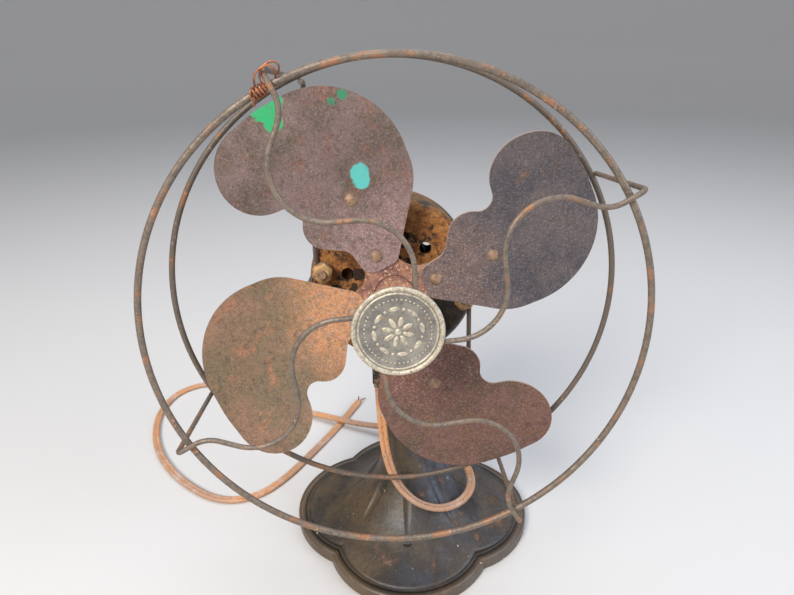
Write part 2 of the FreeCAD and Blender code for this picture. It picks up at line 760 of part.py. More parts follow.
def stator(frame):
    """The laminated stack with four poles, and a coil round each pole."""
    middle = float(core_place())
    length = float(s.core_length)
    foot = Vector(0, 0, middle - length / 2)
    outer = float(s.motor_radius - s.shell_wall)
    bore = float(s.rotor_radius + s.air_gap)
    yoke = float(s.yoke_radius)
    width = float(s.pole_width)
    shoe = 2.4
    core = Part.makeCylinder(outer, length, foot).cut(Part.makeCylinder(yoke, length, foot))
    shoes = Part.makeCylinder(bore + shoe, length, foot)
    coils = []
    for index in range(4):
        turn = Rotation(Vector(0, 0, 1), 90 * index)
        pole = Part.makeBox(yoke + 1, width, length, Vector(0, -width / 2, foot.z))
        pole.Placement = Placement(Vector(), turn).multiply(pole.Placement)
        core = core.fuse(pole)
        gap = Part.makeBox(yoke, 4.0, length, Vector(0, -2.0, foot.z))
        gap.Placement = turned_in(Placement(), 90 * index + 45).multiply(gap.Placement)
        shoes = shoes.cut(gap)
        coils.append(coil(turn, bore + shoe, yoke, width, length, middle))
    core = core.fuse(shoes).cut(Part.makeCylinder(bore, length, foot))
    for index in range(2):
        centre = polar(s.bolt_circle, 180 * index + float(s.motor_turn), foot.z)
        core = core.cut(Part.makeCylinder(float(s.bolt_radius), length, centre))
    piece(shaped("stator_core", core.removeSplitter()), "stator_core", frame)
    piece(shaped("stator_coils", Part.makeCompound(coils)), "stator_coils", frame)


def coil(turn, inner, yoke, width, length, middle):
    """One winding: a rectangular ring round a pole, between its shoe and the yoke."""
    thickness = 4.0
    low = inner + 0.4
    half = width / 2 + thickness
    high = math.sqrt(yoke ** 2 - half ** 2) - 0.3
    outside = Part.makeBox(high - low, half * 2, length + thickness * 2,
                           Vector(low, -half, middle - length / 2 - thickness))
    outside = outside.makeFillet(thickness * 0.7, [e for e in outside.Edges if abs(e.tangentAt(0).x) > 0.99])
    inside = Part.makeBox(high - low, width, length, Vector(low, -width / 2, middle - length / 2))
    winding = outside.cut(inside)
    winding.Placement = Placement(Vector(), turn)
    return winding


def through_bolts(frame):
    """The two bolts that clamp the case, with the washers and nuts in front that hold the cage."""
    radius = float(s.bolt_radius)
    face = -float(s.motor_front)
    rear = face - float(s.motor_length)
    loops = float(s.support_wire) * 2.15
    washer = 0.8
    nut_height = float(s.nut_height)
    bolts = []
    washers = []
    nuts = []
    for index in range(2):
        centre = polar(s.bolt_circle, 180 * index + float(s.motor_turn))
        head = Part.makeCylinder(radius * 2, radius * 1.3, centre + Vector(0, 0, rear - radius * 1.3))
        shank = Part.makeCylinder(radius, float(s.bolt_reach) - rear + face, centre + Vector(0, 0, rear))
        bolts.append(head.fuse(shank).removeSplitter())
        seat = centre + Vector(0, 0, face + loops)
        disc = Part.makeCylinder(float(s.nut_width) / 2, washer, seat)
        washers.append(disc.cut(Part.makeCylinder(radius, washer, seat)))
        nut_seat = seat + Vector(0, 0, washer)
        nuts.append(hexagon(float(s.nut_width), nut_height, nut_seat, 17.0).cut(
            Part.makeCylinder(radius, nut_height, nut_seat)))
    piece(shaped("through_bolts", Part.makeCompound(bolts)), "through_bolts", frame)
    piece(shaped("bolt_washers", Part.makeCompound(washers)), "bolt_washers", frame)
    piece(shaped("bolt_nuts", Part.makeCompound(nuts)), "bolt_nuts", frame)


def hexagon(width, height, base, degrees):
    corner = width / 2 / math.cos(math.pi / 6)
    corners = [base + polar(corner, degrees + 60 * index) for index in range(7)]
    prism = Part.Face(Part.makePolygon(corners)).extrude(Vector(0, 0, height))
    dome = Part.makeCone(corner, corner - height, height, base + Vector(0, 0, height * 0.55))
    lower = Part.makeCylinder(corner, height * 0.55, base)
    return prism.common(lower.fuse(dome))


def strain_relief(frame):
    """The bush in the shell, with a shoulder for the cord's end, and the coiled spring below it."""
    side = float(s.relief_side)
    back = -float(relief_back())
    down = Vector(0, -1, 0)
    outer = float(s.relief_radius) + 0.4
    wire = float(s.relief_wire)
    motor = float(s.motor_radius)
    bottom = -motor - wire
    shoulder = Vector(side, -motor, back)
    top = Vector(side, -motor + float(s.shell_wall) * 3, back)
    bush = Part.makeCylinder(outer, top.y - bottom, top, down)
    seat = float(s.cord_diameter) / 2 + float(s.running_gap)
    bush = bush.cut(Part.makeCylinder(seat, motor, shoulder, down))
    bush = bush.cut(Part.makeCylinder(float(s.cord_diameter) / 4, motor, top, down))
    piece(shaped("cord_bushing", bush), "cord_bushing", frame)

    length = float(s.relief_reach) - wire
    mean = float(s.relief_radius) - wire / 2
    pitch = wire * 1.45
    helix = Part.makeHelix(pitch, length - wire, mean)
    section = Part.Wire(Part.makeCircle(wire / 2, Vector(mean, 0, 0), Vector(0, 1, 0)))
    spring = helix.makePipeShell([section], True, True)
    spring.Placement = Placement(Vector(side, bottom - wire / 2, back), Rotation(Vector(0, 0, 1), down))
    piece(shaped("strain_relief_spring", spring), "strain_relief_spring", frame)


# ---------------------------------------------------------------- rotor

def shaft_and_core(frame):
    """The shaft with the rotor's stack, its end rings and the spacers beside them."""
    middle = core_place()
    top = middle + s.core_length / 2
    bottom = middle - s.core_length / 2
    rear = -(s.motor_front + s.motor_length + s.housing_reach) - 1
    front = as_size(3)
    rod = turned_body("shaft", [(0, rear), (s.shaft_radius, rear), (s.shaft_radius, front), (0, front)])
    piece(rod, "shaft", frame)
    stack = [(s.shaft_radius, bottom), (s.rotor_radius, bottom), (s.rotor_radius, top), (s.shaft_radius, top)]
    piece(turned_body("rotor_core", stack), "rotor_core", frame)
    ring_height = 3.0
    front_gap = float(-s.motor_front - s.shell_wall - s.housing_depth - top)
    rear_gap = float(bottom + s.motor_front + s.motor_length - s.shell_wall - s.housing_depth)
    rings = []
    spacers = []
    shaft = float(s.shaft_radius)
    for base, gap, way in ((float(top), front_gap, 1), (float(bottom), rear_gap, -1)):
        axis = Vector(0, 0, way)
        start = Vector(0, 0, base)
        ring = Part.makeCylinder(float(s.rotor_radius) - 0.5, ring_height, start, axis)
        rings.append(ring.cut(Part.makeCylinder(shaft * 3, ring_height, start, axis)))
        sleeve = Part.makeCylinder(shaft * 1.6, gap - 0.3, start, axis)
        spacers.append(sleeve.cut(Part.makeCylinder(shaft, gap, start, axis)))
    piece(shaped("rotor_end_rings", Part.makeCompound(rings)), "rotor_end_rings", frame)
    piece(shaped("shaft_spacers", Part.makeCompound(spacers)), "shaft_spacers", frame)


def hub(frame):
    """The collar on the shaft that carries the spider, and its set screw."""
    back = -s.spider_depth
    front = back + s.spider_thickness
    rear = -(s.motor_front - s.housing_reach) + 2
    sleeve = s.hub_radius - 1.5
    neck = s.hub_radius - 2.5
    points = [(s.shaft_radius, rear), (sleeve, rear), (sleeve, back), (neck, back), (neck, front),
              (s.hub_radius, front), (s.hub_radius, front + 3.5), (s.shaft_radius, front + 3.5)]
    collar = turned_body("hub_collar_body", points)
    place = Vector(0, 0, (float(rear) + float(back)) / 2)
    screw_radius = 1.5
    hole = cylinder("set_screw_hole", screw_radius, sleeve + 1, place, Vector(0, 1, 0))
    piece(cut("hub_collar", collar, hole), "hub_collar", turned_in(frame, s.blade_turn + 45))
    start = place + Vector(0, float(s.shaft_radius), 0)
    screw = Part.makeCylinder(screw_radius, float(sleeve - s.shaft_radius) + 0.6, start, Vector(0, 1, 0))
    piece(shaped("hub_set_screw", screw), "hub_set_screw", turned_in(frame, s.blade_turn + 45))


def blade_frame(index):
    """A blade's own frame: X out along the blade, turned to its pitch about that axis."""
    degrees = 90 + float(s.blade_turn) + 360.0 / float(s.blade_count) * index
    turn = Rotation(Vector(0, 0, 1), degrees)
    pitch = Rotation(Vector(1, 0, 0), float(s.blade_pitch))
    return Placement(Vector(), turn.multiply(pitch))


def spider(frame):
    """A stamped plate: a scooped flat middle, and four arms set to the blades' pitch behind them."""
    back = -float(s.spider_depth)
    flat = float(s.spider_thickness)
    neck = float(s.hub_radius) - 2.5
    thickness = float(s.arm_thickness)
    width = float(s.arm_width)
    end = float(s.rivet_outer)
    foot = -float(s.blade_thickness) / 2 - thickness
    tail = rivet_tail() + float(s.fit_gap)
    root = float(s.rivet_inner) - tail - neck
    depth = float(s.spider_depth) * 2
    step = FULL_TURN / float(s.blade_count)
    plate = Part.makeCylinder(float(s.spider_radius), flat, Vector(0, 0, back))
    below = Part.makeCylinder(end, depth, Vector(0, 0, back - depth))
    for index in range(int(float(s.blade_count))):
        place = blade_frame(index)
        arm = Part.makeBox(end - neck, width, thickness, Vector(neck, -width / 2, foot))
        arm = arm.fuse(Part.makeCylinder(width / 2, thickness, Vector(end, 0, foot)))
        arm = arm.fuse(Part.makeBox(root, width, depth, Vector(neck, -width / 2, foot - depth)))
        arm.Placement = place
        plate = plate.fuse(arm.cut(below))
        for rivet in (float(s.rivet_inner), float(s.rivet_outer)):
            hole = Part.makeCylinder(float(s.rivet_shank), thickness, Vector(rivet, 0, foot))
            hole = hole.fuse(Part.makeCylinder(tail, depth, Vector(rivet, 0, foot - depth)))
            hole.Placement = place
            plate = plate.cut(hole)
        scoop = polar(s.scoop_circle, 90 + float(s.blade_turn) + step * (index + 0.5), back - flat / 2)
        plate = plate.cut(Part.makeCylinder(float(s.scoop_radius), flat * 2, scoop))
    flange = Part.makeCylinder(float(s.hub_radius + s.fit_gap), depth, Vector(0, 0, back + flat))
    hole = Part.makeCylinder(neck, depth, Vector(0, 0, back))
    piece(shaped("spider", plate.cut(flange).cut(hole).removeSplitter()), "spider", frame)


def rivet_tail():
    """Radius of a rivet's closed end behind the spider."""
    return float(s.rivet_head) * 0.8


# Outline of a blade as (out, across, rounding), in shares of the blade's length from its inner end.
BLADE_OUTLINE = [
    (0.000, -0.088, 0.078),
    (0.121, -0.173, 0.095),
    (0.384, -0.360, 0.306),
    (1.031, -0.368, 0.431),
    (0.972, 0.253, 0.596),
    (0.886, 0.552, 0.230),
    (0.510, 0.570, 0.203),
    (0.496, 0.226, 0.070),
    (0.285, 0.327, 0.118),
    (0.163, 0.119, 0.085),
    (0.000, 0.088, 0.078),
]


def blade_outline():
    """The closed outline of one blade, lying in XY."""
    root = float(s.blade_root)
    length = float(s.tip_radius) - root
    corners = [Vector(root + out * length, across * length, 0) for out, across, rounding in BLADE_OUTLINE]
    radii = [rounding * length for out, across, rounding in BLADE_OUTLINE]
    start = (corners[0] + corners[-1]) * 0.5
    return rounded_wire([start] + corners + [start], radii)


def blades(frame):
    """Four riveted sheet blades, each curved across its width and set to its pitch."""
    face = Part.Face(blade_outline())
    depth = 60.0
    camber = float(s.blade_camber)
    thickness = float(s.blade_thickness)
    prism = face.extrude(Vector(0, 0, depth))
    prism.translate(Vector(0, 0, -depth / 4))
    along = Vector(1, 0, 0)
    length = float(s.tip_radius) * 2
    outer = Part.makeCylinder(camber + thickness / 2, length, Vector(-1, 0, camber), along)
    inner = Part.makeCylinder(camber - thickness / 2, length, Vector(-1, 0, camber), along)
    sheet_metal = prism.common(outer.cut(inner))
    for rivet in (s.rivet_inner, s.rivet_outer):
        sheet_metal = sheet_metal.cut(
            Part.makeCylinder(float(s.rivet_shank), depth, Vector(float(rivet), 0, -depth / 2)))
    for index in range(int(float(s.blade_count))):
        label = f"blade_{index + 1}"
        piece(shaped(label, sheet_metal), label, frame.multiply(blade_frame(index)))


def blade_rivets(frame):
    """Two domed rivets through each blade and its arm."""
    head = float(s.rivet_head)
    shank = float(s.rivet_shank)
    front = float(s.blade_thickness) / 2
    back = -front - float(s.arm_thickness)
    rise = head * 0.5
    ball = (head ** 2 + rise ** 2) / (2 * rise)
    rivets = []
    for index in range(int(float(s.blade_count))):
        for place in (float(s.rivet_inner), float(s.rivet_outer)):
            dome = Part.makeSphere(ball, Vector(place, 0, front + rise - ball))
            seat = Vector(place, 0, front + head ** 2 / float(s.blade_camber))
            dome = dome.common(Part.makeCylinder(head, rise * 2, seat))
            stem = Part.makeCylinder(shank, front - back + head * 0.2, Vector(place, 0, back))
            tail = Part.makeCylinder(rivet_tail(), head * 0.3, Vector(place, 0, back - head * 0.3))
            rivet = stem.fuse(dome).fuse(tail).removeSplitter()
            rivet.Placement = blade_frame(index)
            rivets.append(rivet)
    piece(shaped("blade_rivets", Part.makeCompound(rivets)), "blade_rivets", frame)


# ---------------------------------------------------------------- cage

def ring(label, radius, height, frame):
    hoop = doc.addObject("Part::Torus", label)
    bind(hoop, "Radius1", radius)
    bind(hoop, "Radius2", s.ring_wire / 2)
    piece(hoop, label, frame.multiply(Placement(Vector(0, 0, float(height)), Rotation())))


# Corners of a spoke as (out, across, rounding) in shares of the front ring's radius, before its tip.
SPOKE_ROUTE = [
    (0.117, -0.129, 0.0),
    (0.374, -0.249, 0.200),
    (0.610, 0.335, 0.200),
    (0.911, 0.000, 0.130),
]


def spoke_turn(number):
    """Degrees from +X to a spoke's tip."""
    slip = float(s.loose_spoke_turn) if number == float(s.loose_spoke) else 0.0
    return float(s.cage_turn) + FULL_TURN / float(s.spoke_count) * (number - 1) + slip


def spokes(frame):
    """Four S-curved spokes from the badge, over the front ring and back to the rear ring."""
    reach = float(s.front_ring_radius)
    wire = float(s.spoke_wire)
    front = float(s.front_ring_reach + s.ring_wire / 2) + wire / 2
    outside = float(s.rear_ring_radius + s.ring_wire / 2) + wire / 2
    rear = -float(s.rear_ring_back + s.ring_wire / 2)
    points = [Vector(out * reach, across * reach, front) for out, across, rounding in SPOKE_ROUTE]
    points += [Vector(outside, 0, front), Vector(outside, 0, rear)]
    radii = [rounding * reach for out, across, rounding in SPOKE_ROUTE[1:]] + [wire * 1.3]
    rod = tube(rounded_wire(points, radii), wire)
    for index in range(int(float(s.spoke_count))):
        label = f"spoke_{index + 1}"
        piece(shaped(label, rod), label, turned_in(frame, spoke_turn(index + 1)))


def tangent_angle(point, centre, radius, side):
    """Degrees round a circle where a line from point touches it, on the side given by 1 or -1."""
    away = point - centre
    return math.degrees(math.atan2(away.y, away.x) + side * math.acos(radius / away.Length))


def easing_arc(flat_end, heading, slope, radius):
    """An arc in an upright plane that takes a level wire, heading that way, into a slope in radians."""
    def point(angle):
        return flat_end + heading * (radius * math.sin(angle)) + Vector(0, 0, radius * (1 - math.cos(angle)))
    return Part.Arc(point(0), point(slope / 2), point(slope)).toShape()


def cage_supports(frame):
    """Two wires, each with an eye round a through bolt, that run out to the rear ring at both ends."""
    wire = float(s.support_wire)
    level = Vector(0, 0, -float(s.motor_front) + wire / 2)
    lift = Vector(0, 0, -float(s.rear_ring_back)) - level
    inside = float(s.rear_ring_radius - s.ring_wire / 2) - wire / 2
    hook = float(s.bolt_radius) + wire / 2
    bend = wire * 1.5
    pitch = wire * 1.12
    slope = math.atan(pitch / (2 * math.pi * hook))
    ease = wire * 2
    ease_run = ease * math.sin(slope)
    ease_rise = Vector(0, 0, ease * (1 - math.cos(slope)))
    eye = polar(s.bolt_circle, 180 + float(s.motor_turn)) + level
    upper = polar(inside, float(s.support_upper)) + level
    lower = polar(inside, float(s.support_lower)) + level
    arrive = tangent_angle(upper, eye, hook, 1)
    leave = tangent_angle(lower, eye, hook, -1)
    heading_in = polar(1, arrive + 90)
    heading_out = polar(1, leave + 90)
    wrap = (leave - arrive) % 360
    rise = Vector(0, 0, pitch * wrap / 360)
    helix = Part.makeHelix(pitch, rise.z, hook)
    helix.Placement = Placement(eye + ease_rise, Rotation(Vector(0, 0, 1), arrive))
    eye_start = eye + polar(hook, arrive) - heading_in * ease_run
    eye_end = eye + polar(hook, leave) + rise + ease_rise * 2 + heading_out * ease_run
    shift = eye_end - eye - polar(hook, leave) - heading_out * ease_run
    upper_leg = rounded_wire([upper + lift, upper, eye_start], [bend])
    lower_leg = rounded_wire([eye_end, lower + shift, lower + lift], [bend])
    entry = easing_arc(eye_start, heading_in, slope, ease)
    leaving = easing_arc(-eye_end, heading_out, slope, ease)
    exit_arc = Part.Arc(*[-leaving.valueAt(leaving.FirstParameter + share * leaving.Length / ease)
                          for share in (1, 0.5, 0)]).toShape()
    rod = tube(Part.Wire(upper_leg.Edges + [entry] + helix.Edges + [exit_arc] + lower_leg.Edges), wire)
    for label, turn in (("cage_support_left", 0), ("cage_support_right", 180)):
        piece(shaped(label, rod), label, turned_in(frame, turn))


def badge(frame):
    """The medallion in the middle of the cage: a rimmed front and the disc that traps the spokes."""
    level = s.front_ring_reach + (s.ring_wire + s.spoke_wire) / 2
    top_seat = level + s.spoke_wire / 2
    back_seat = level - s.spoke_wire / 2
    rim_top = top_seat + s.badge_thickness
    face = rim_top - 0.7
    rim = s.badge_radius - 2.4
    front = turned_body("badge_front", [
        (0, top_seat), (s.badge_radius, top_seat), (s.badge_radius, rim_top),
        (rim, rim_top), (rim, face), (0, face)])
    piece(front, "badge_front", frame)
    post = as_size(float(s.front_ring_radius) * 0.13)
    back = turned_body("badge_back", [
        (0, back_seat - 1), (s.badge_radius - 1.2, back_seat - 1), (s.badge_radius - 1.2, back_seat),
        (post, back_seat), (post, top_seat), (0, top_seat)])
    piece(back, "badge_back", frame)


def tie_wire(frame):
    """Turns of copper wire round the front ring that hold the loose spoke from slipping further."""
    wire = float(s.tie_wire)
    turns = 4
    pitch = wire * 1.35
    length = pitch * turns
    radius = float(s.ring_wire) / 2 + wire / 2 + 0.02
    helix = Part.makeHelix(pitch, length, radius)
    section = Part.Wire(Part.makeCircle(wire / 2, Vector(radius, 0, 0), Vector(0, 1, 0)))
    binding = helix.makePipeShell([section], True, True)
    reach = float(s.front_ring_radius)
    beside = float(s.spoke_wire) / 2 + wire / 2 + float(s.fit_gap)
    angle = spoke_turn(int(float(s.loose_spoke))) + math.degrees((beside + length / 2) / reach)
    along = polar(1, angle + 90)
    start = polar(reach, angle, s.front_ring_reach) - along * (length / 2)
    binding.Placement = Placement(start, Rotation(Vector(0, 0, 1), along))
    piece(shaped("tie_wire", binding), "tie_wire", frame)


# ---------------------------------------------------------------- cord

# The cord's route from the strain relief, in front of the column, round it and over the table.
CORD_ROUTE = [
    (-16.2, -16.4, 78.6),
    (-14.6, -22.4, 62.0),
    (-9.6, -28.2, 47.8),
    (0.4, -31.8, 37.6),
    (13.0, -31.0, 31.2),
    (25.4, -25.0, 28.6),
    (35.2, -13.8, 27.8),
    (38.8, 1.0, 27.2),
    (36.2, 16.4, 26.2),
    (29.2, 31.2, 24.0),
    (20.6, 45.8, 20.0),
    (10.4, 60.0, 16.4),
    (-3.2, 72.4, 13.4),
    (-19.6, 81.0, 11.2),
    (-37.5, 89.0, 10.9),
    (-57.5, 98.5, 9.6),
    (-80.0, 110.5, 6.2),
    (-105.0, 126.0, 3.2),
    (-134.0, 146.5, 2.3),
    (-164.0, 161.0, 2.3),
    (-188.0, 148.0, 2.3),
    (-195.0, 120.0, 2.3),
    (-189.0, 90.0, 2.3),
    (-176.0, 62.0, 2.3),
    (-154.0, 35.0, 2.3),
    (-124.0, 13.5, 2.3),
    (-100.0, 15.5, 2.3),
    (-84.0, 31.0, 2.3),
    (-68.5, 57.0, 2.3),
    (-49.5, 91.5, 2.3),
    (-36.0, 122.0, 2.3),
]
TUBE_SHARE = 0.45


def cord_start(frame):
    """Top of the cord inside the strain relief, and a point just below the spring."""
    side = float(s.relief_side)
    back = -float(relief_back())
    top = -float(s.motor_radius)
    below = top - float(s.relief_reach) - 1.5
    return [frame.multVec(Vector(side, top, back)), frame.multVec(Vector(side, below, back))]


def cord(frame):
    """The cord as one plain tube, and the two bared conductors at its cut end."""
    points = cord_start(frame) + [Vector(*place) for place in CORD_ROUTE]
    radii = []
    for before, corner, after in zip(points, points[1:], points[2:]):
        shorter = min((corner - before).Length, (after - corner).Length)
        turn = math.pi - (before - corner).getAngle(after - corner)
        radii.append(TUBE_SHARE * shorter / math.tan(turn / 2))
    path = rounded_wire(points, radii)
    print("cord length", round(path.Length, 1), "radii", [round(radius) for radius in radii])
    piece(shaped("cord", tube(path, s.cord_diameter)), "cord")
    end = points[-1]
    onward = (points[-1] - points[-2]).normalize()
    strands = []
    for side in (-1, 1):
        aside = Vector(-onward.y, onward.x, 0) * side
        start = end + aside * float(s.cord_diameter) / 4
        bend = start + onward * 2.5
        strand = rounded_wire([start, bend, bend + onward * 4.0 + aside * 1.8], [2.0])
        strands.append(tube(strand, s.conductor_diameter))
    piece(shaped("cord_conductors", Part.makeCompound(strands)), "cord_conductors")


# ---------------------------------------------------------------- the fan

def build():
    frame = head_frame()
    stand_casting()
    bottom_cover()
    pivot_post()
    tilt_bolt()
    screw_holes = neck_lug(frame)
    motor_case(frame, screw_holes)
    bearings(frame)
    stator(frame)
    through_bolts(frame)
    strain_relief(frame)
    shaft_and_core(frame)
    hub(frame)
    spider(frame)
    blades(frame)
    blade_rivets(frame)
    ring("front_ring", s.front_ring_radius, s.front_ring_reach, frame)
    ring("rear_ring", s.rear_ring_radius, -s.rear_ring_back, frame)
    spokes(frame)
    cage_supports(frame)
    badge(frame)
    tie_wire(frame)
    cord(frame)
    doc.recompute()


def check_and_write():
    """Refuse a failed object or a broken solid, then write one file for each sub-part."""
    for thing in doc.Objects:
        if {"Invalid", "Error"} & set(thing.State):
            raise ValueError(f"{thing.Label} failed: {thing.State}")
    for thing in PIECES:
        if thing.Shape.isNull() or not thing.Shape.isValid() or not thing.Shape.Solids:
            raise ValueError(f"{thing.Label} has no valid solid")
    os.makedirs("parts", exist_ok=True)
    for thing in PIECES:
        thing.Shape.exportStep(f"parts/{thing.Label}.step")
    print(len(PIECES), "pieces written")


fill_sheet()
s = Sheet()
build()
check_and_write()
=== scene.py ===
import json
import math

import bmesh
import bpy
from bpy.props import FloatProperty, FloatVectorProperty, IntProperty, PointerProperty
from mathutils import Matrix, Vector


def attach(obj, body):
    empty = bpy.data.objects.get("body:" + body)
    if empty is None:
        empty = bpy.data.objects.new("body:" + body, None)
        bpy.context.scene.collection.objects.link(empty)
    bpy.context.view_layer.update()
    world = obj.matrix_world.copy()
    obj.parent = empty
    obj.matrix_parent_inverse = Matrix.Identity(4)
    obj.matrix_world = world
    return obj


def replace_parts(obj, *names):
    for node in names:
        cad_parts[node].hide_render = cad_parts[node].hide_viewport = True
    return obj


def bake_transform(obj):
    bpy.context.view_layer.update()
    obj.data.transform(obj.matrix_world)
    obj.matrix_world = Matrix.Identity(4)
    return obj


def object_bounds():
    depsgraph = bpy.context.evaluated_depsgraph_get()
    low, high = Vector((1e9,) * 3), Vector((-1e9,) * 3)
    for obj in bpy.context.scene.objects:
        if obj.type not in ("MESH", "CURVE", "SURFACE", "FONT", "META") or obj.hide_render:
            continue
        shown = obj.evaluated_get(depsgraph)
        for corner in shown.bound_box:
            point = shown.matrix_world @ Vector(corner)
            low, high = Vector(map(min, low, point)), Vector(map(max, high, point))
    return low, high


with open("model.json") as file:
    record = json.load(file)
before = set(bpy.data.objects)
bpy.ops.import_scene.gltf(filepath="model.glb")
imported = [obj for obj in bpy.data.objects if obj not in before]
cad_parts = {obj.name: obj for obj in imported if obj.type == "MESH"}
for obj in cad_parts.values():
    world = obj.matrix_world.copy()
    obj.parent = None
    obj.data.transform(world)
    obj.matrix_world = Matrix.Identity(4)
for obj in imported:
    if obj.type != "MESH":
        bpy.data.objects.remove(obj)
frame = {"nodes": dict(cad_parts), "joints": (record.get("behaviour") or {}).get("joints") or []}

bl_info = {
    "name": "Old Desk Fan",
    "version": (1, 0, 0),
    "blender": (4, 5, 0),
    "location": "3D View > Sidebar > Desk Fan",
    "description": "Finishes and fine pieces for a rusted four-bladed desk fan",
    "category": "Object",
}

MM = 0.001
CAD_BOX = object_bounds()
JOINTS = {joint["name"]: joint for joint in frame["joints"]}
SPIN = JOINTS["rotor_spin"]
AXIS = Vector(SPIN["axis"])
SIDE = Vector((1, 0, 0))
TURN = Matrix((SIDE, AXIS.cross(SIDE), AXIS)).transposed().to_4x4()
HEAD = Matrix.Translation(Vector(SPIN["pos_m"])) @ TURN
FULL_TURN = 2 * math.pi

# The foot is four round lobes about the column, turned by some degrees.
FOOT_REACH = 69.5 * MM
LOBE_RADIUS = 46.8 * MM
LOBE_COUNT = 4
FOOT_TURN = -6.0

# The badge in millimetres: its face, and the circles that its relief stands on.
BADGE_FACE = 1.0
PETAL_CIRCLE = 4.2
BORDER_CIRCLE = 9.6
BEAD_CIRCLE = 13.4
BEADS_PER_PETAL = 6
BADGE_TURN = -14.0
BADGE_STEPS = 96

# The camera, the floor and the lamps in metres.
CAMERA_PLACE = Vector((-0.0135, -0.2886, 0.2714))
CAMERA_FORWARD = Vector((0.0232, 0.9170, -0.3982))
CAMERA_UP = Vector((0.0302, 0.3975, 0.9171))
SENSOR_WIDTH = 36.0
NEAREST_SHOWN = 0.01
FLOOR_PROFILE = [(0.0, 0.0), (2.2, 0.0), (2.6, 0.06), (2.9, 0.24), (3.05, 0.55), (3.1, 1.0), (3.1, 2.0)]
FLOOR_STEPS = 64
SKY_TINT = (0.80, 0.84, 0.92, 1.0)
SKY_STRENGTH = 0.55
LAMPS = (
    ("key_lamp", (-0.50, -0.80, 0.85), 0.45, "key_power", (1.0, 0.94, 0.86)),
    ("fill_lamp", (0.85, -0.35, 0.55), 0.6, "fill_power", (0.80, 0.87, 1.0)),
    ("top_lamp", (0.05, 0.30, 1.1), 0.8, "fill_power", (0.86, 0.91, 1.0)),
)


# ---------------------------------------------------------------- shader shorthand

class Value:
    """A shader socket that takes part in sums: arithmetic on it adds Math nodes."""

    def __init__(self, finish, socket):
        self.finish = finish
        self.socket = socket

    def work(self, operation, first, second):
        made = self.finish.node("ShaderNodeMath", {"operation": operation}, {0: first, 1: second})
        return Value(self.finish, made.outputs[0])

    def __add__(self, other):
        return self.work("ADD", self, other)

    def __radd__(self, other):
        return self.work("ADD", other, self)

    def __sub__(self, other):
        return self.work("SUBTRACT", self, other)

    def __rsub__(self, other):
        return self.work("SUBTRACT", other, self)

    def __mul__(self, other):
        return self.work("MULTIPLY", self, other)

    def __rmul__(self, other):
        return self.work("MULTIPLY", other, self)

    def least(self, other):
        return self.work("MINIMUM", self, other)

    def most(self, other):
        return self.work("MAXIMUM", self, other)

    def between(self, low, high):
        """Rises smoothly from 0 at low to 1 at high."""
        made = self.finish.node(
            "ShaderNodeMapRange",
            {"interpolation_type": "SMOOTHSTEP"},
            {"Value": self, "From Min": low, "From Max": high})
        return Value(self.finish, made.outputs["Result"])


class Finish:
    """One procedural material, and the shorthand that builds its nodes."""

    def __init__(self, name, constants=()):
        self.material = bpy.data.materials.new(name)
        self.material.use_nodes = True
        self.tree = self.material.node_tree
        self.shader = self.tree.nodes["Principled BSDF"]
        for socket, value in dict(constants).items():
            self.shader.inputs[socket].default_value = value
        self.place = Value(self, self.node("ShaderNodeTexCoord").outputs["Object"])

    def node(self, kind, settings=(), inputs=()):
        """Adds a node: its settings first, then the values or links of its sockets."""
        made = self.tree.nodes.new(kind)
        for name, value in dict(settings).items():
            setattr(made, name, value)
        for name, value in dict(inputs).items():
            if isinstance(value, Value):
                self.tree.links.new(value.socket, made.inputs[name])
            else:
                made.inputs[name].default_value = value
        return made

    def grain(self, size, detail=3.0, rough=0.6, seed=0.0):
        """A cloudy pattern from 0 to 1 with features about size across."""
        made = self.node(
            "ShaderNodeTexNoise",
            {"noise_dimensions": "4D"},
            {"Vector": self.place, "W": seed, "Scale": 1 / size, "Detail": detail, "Roughness": rough})
        return Value(self, made.outputs[0])

    def vector(self, operation, first, second):
        made = self.node("ShaderNodeVectorMath", {"operation": operation}, {0: first, 1: second})
        return Value(self, made.outputs[0])

    def distance(self, centre, flatten=None):
        """How far the surface is from a point."""
        place = self.vector("MULTIPLY", self.place, flatten) if flatten else self.place
        made = self.node("ShaderNodeVectorMath", {"operation": "DISTANCE"}, {0: place, 1: centre})
        return Value(self, made.outputs["Value"])

    def along(self, axis, origin):
        """How far the surface is along a direction from a point."""
        made = self.node(
            "ShaderNodeVectorMath",
            {"operation": "DOT_PRODUCT"},
            {0: self.vector("SUBTRACT", self.place, origin), 1: axis})
        return Value(self, made.outputs["Value"])

    def mix(self, share, first, second):
        """A colour between two colours."""
        made = self.node("ShaderNodeMix", {"data_type": "RGBA"}, {0: share, 6: first, 7: second})
        return Value(self, made.outputs[2])

    def paint(self, colour, rough=None, metal=None, height=None, depth=0.1 * MM):
        """Connects what varies to the shader, with height as relief that is depth deep."""
        links = self.tree.links
        links.new(colour.socket, self.shader.inputs["Base Color"])
        if rough is not None:
            links.new(rough.socket, self.shader.inputs["Roughness"])
        if metal is not None:
            links.new(metal.socket, self.shader.inputs["Metallic"])
        if height is not None:
            bump = self.node("ShaderNodeBump", {}, {"Height": height, "Distance": depth, "Strength": 1.0})
            links.new(bump.outputs["Normal"], self.shader.inputs["Normal"])
        return self


def tone(red, green, blue):
    return (red, green, blue, 1.0)


# ---------------------------------------------------------------- finishes

# Pale dust, tinted pinkish mauve as a painted sky reflection on the blades.
DUST_AND_MAUVE_SHEEN = tone(0.44, 0.35, 0.32)
# Painted highlight: a paler colour for the sheet edges, standing in for light on the lit edge.
PAINTED_EDGE_LIGHT = tone(0.46, 0.33, 0.25)
SOOT = tone(0.022, 0.018, 0.016)


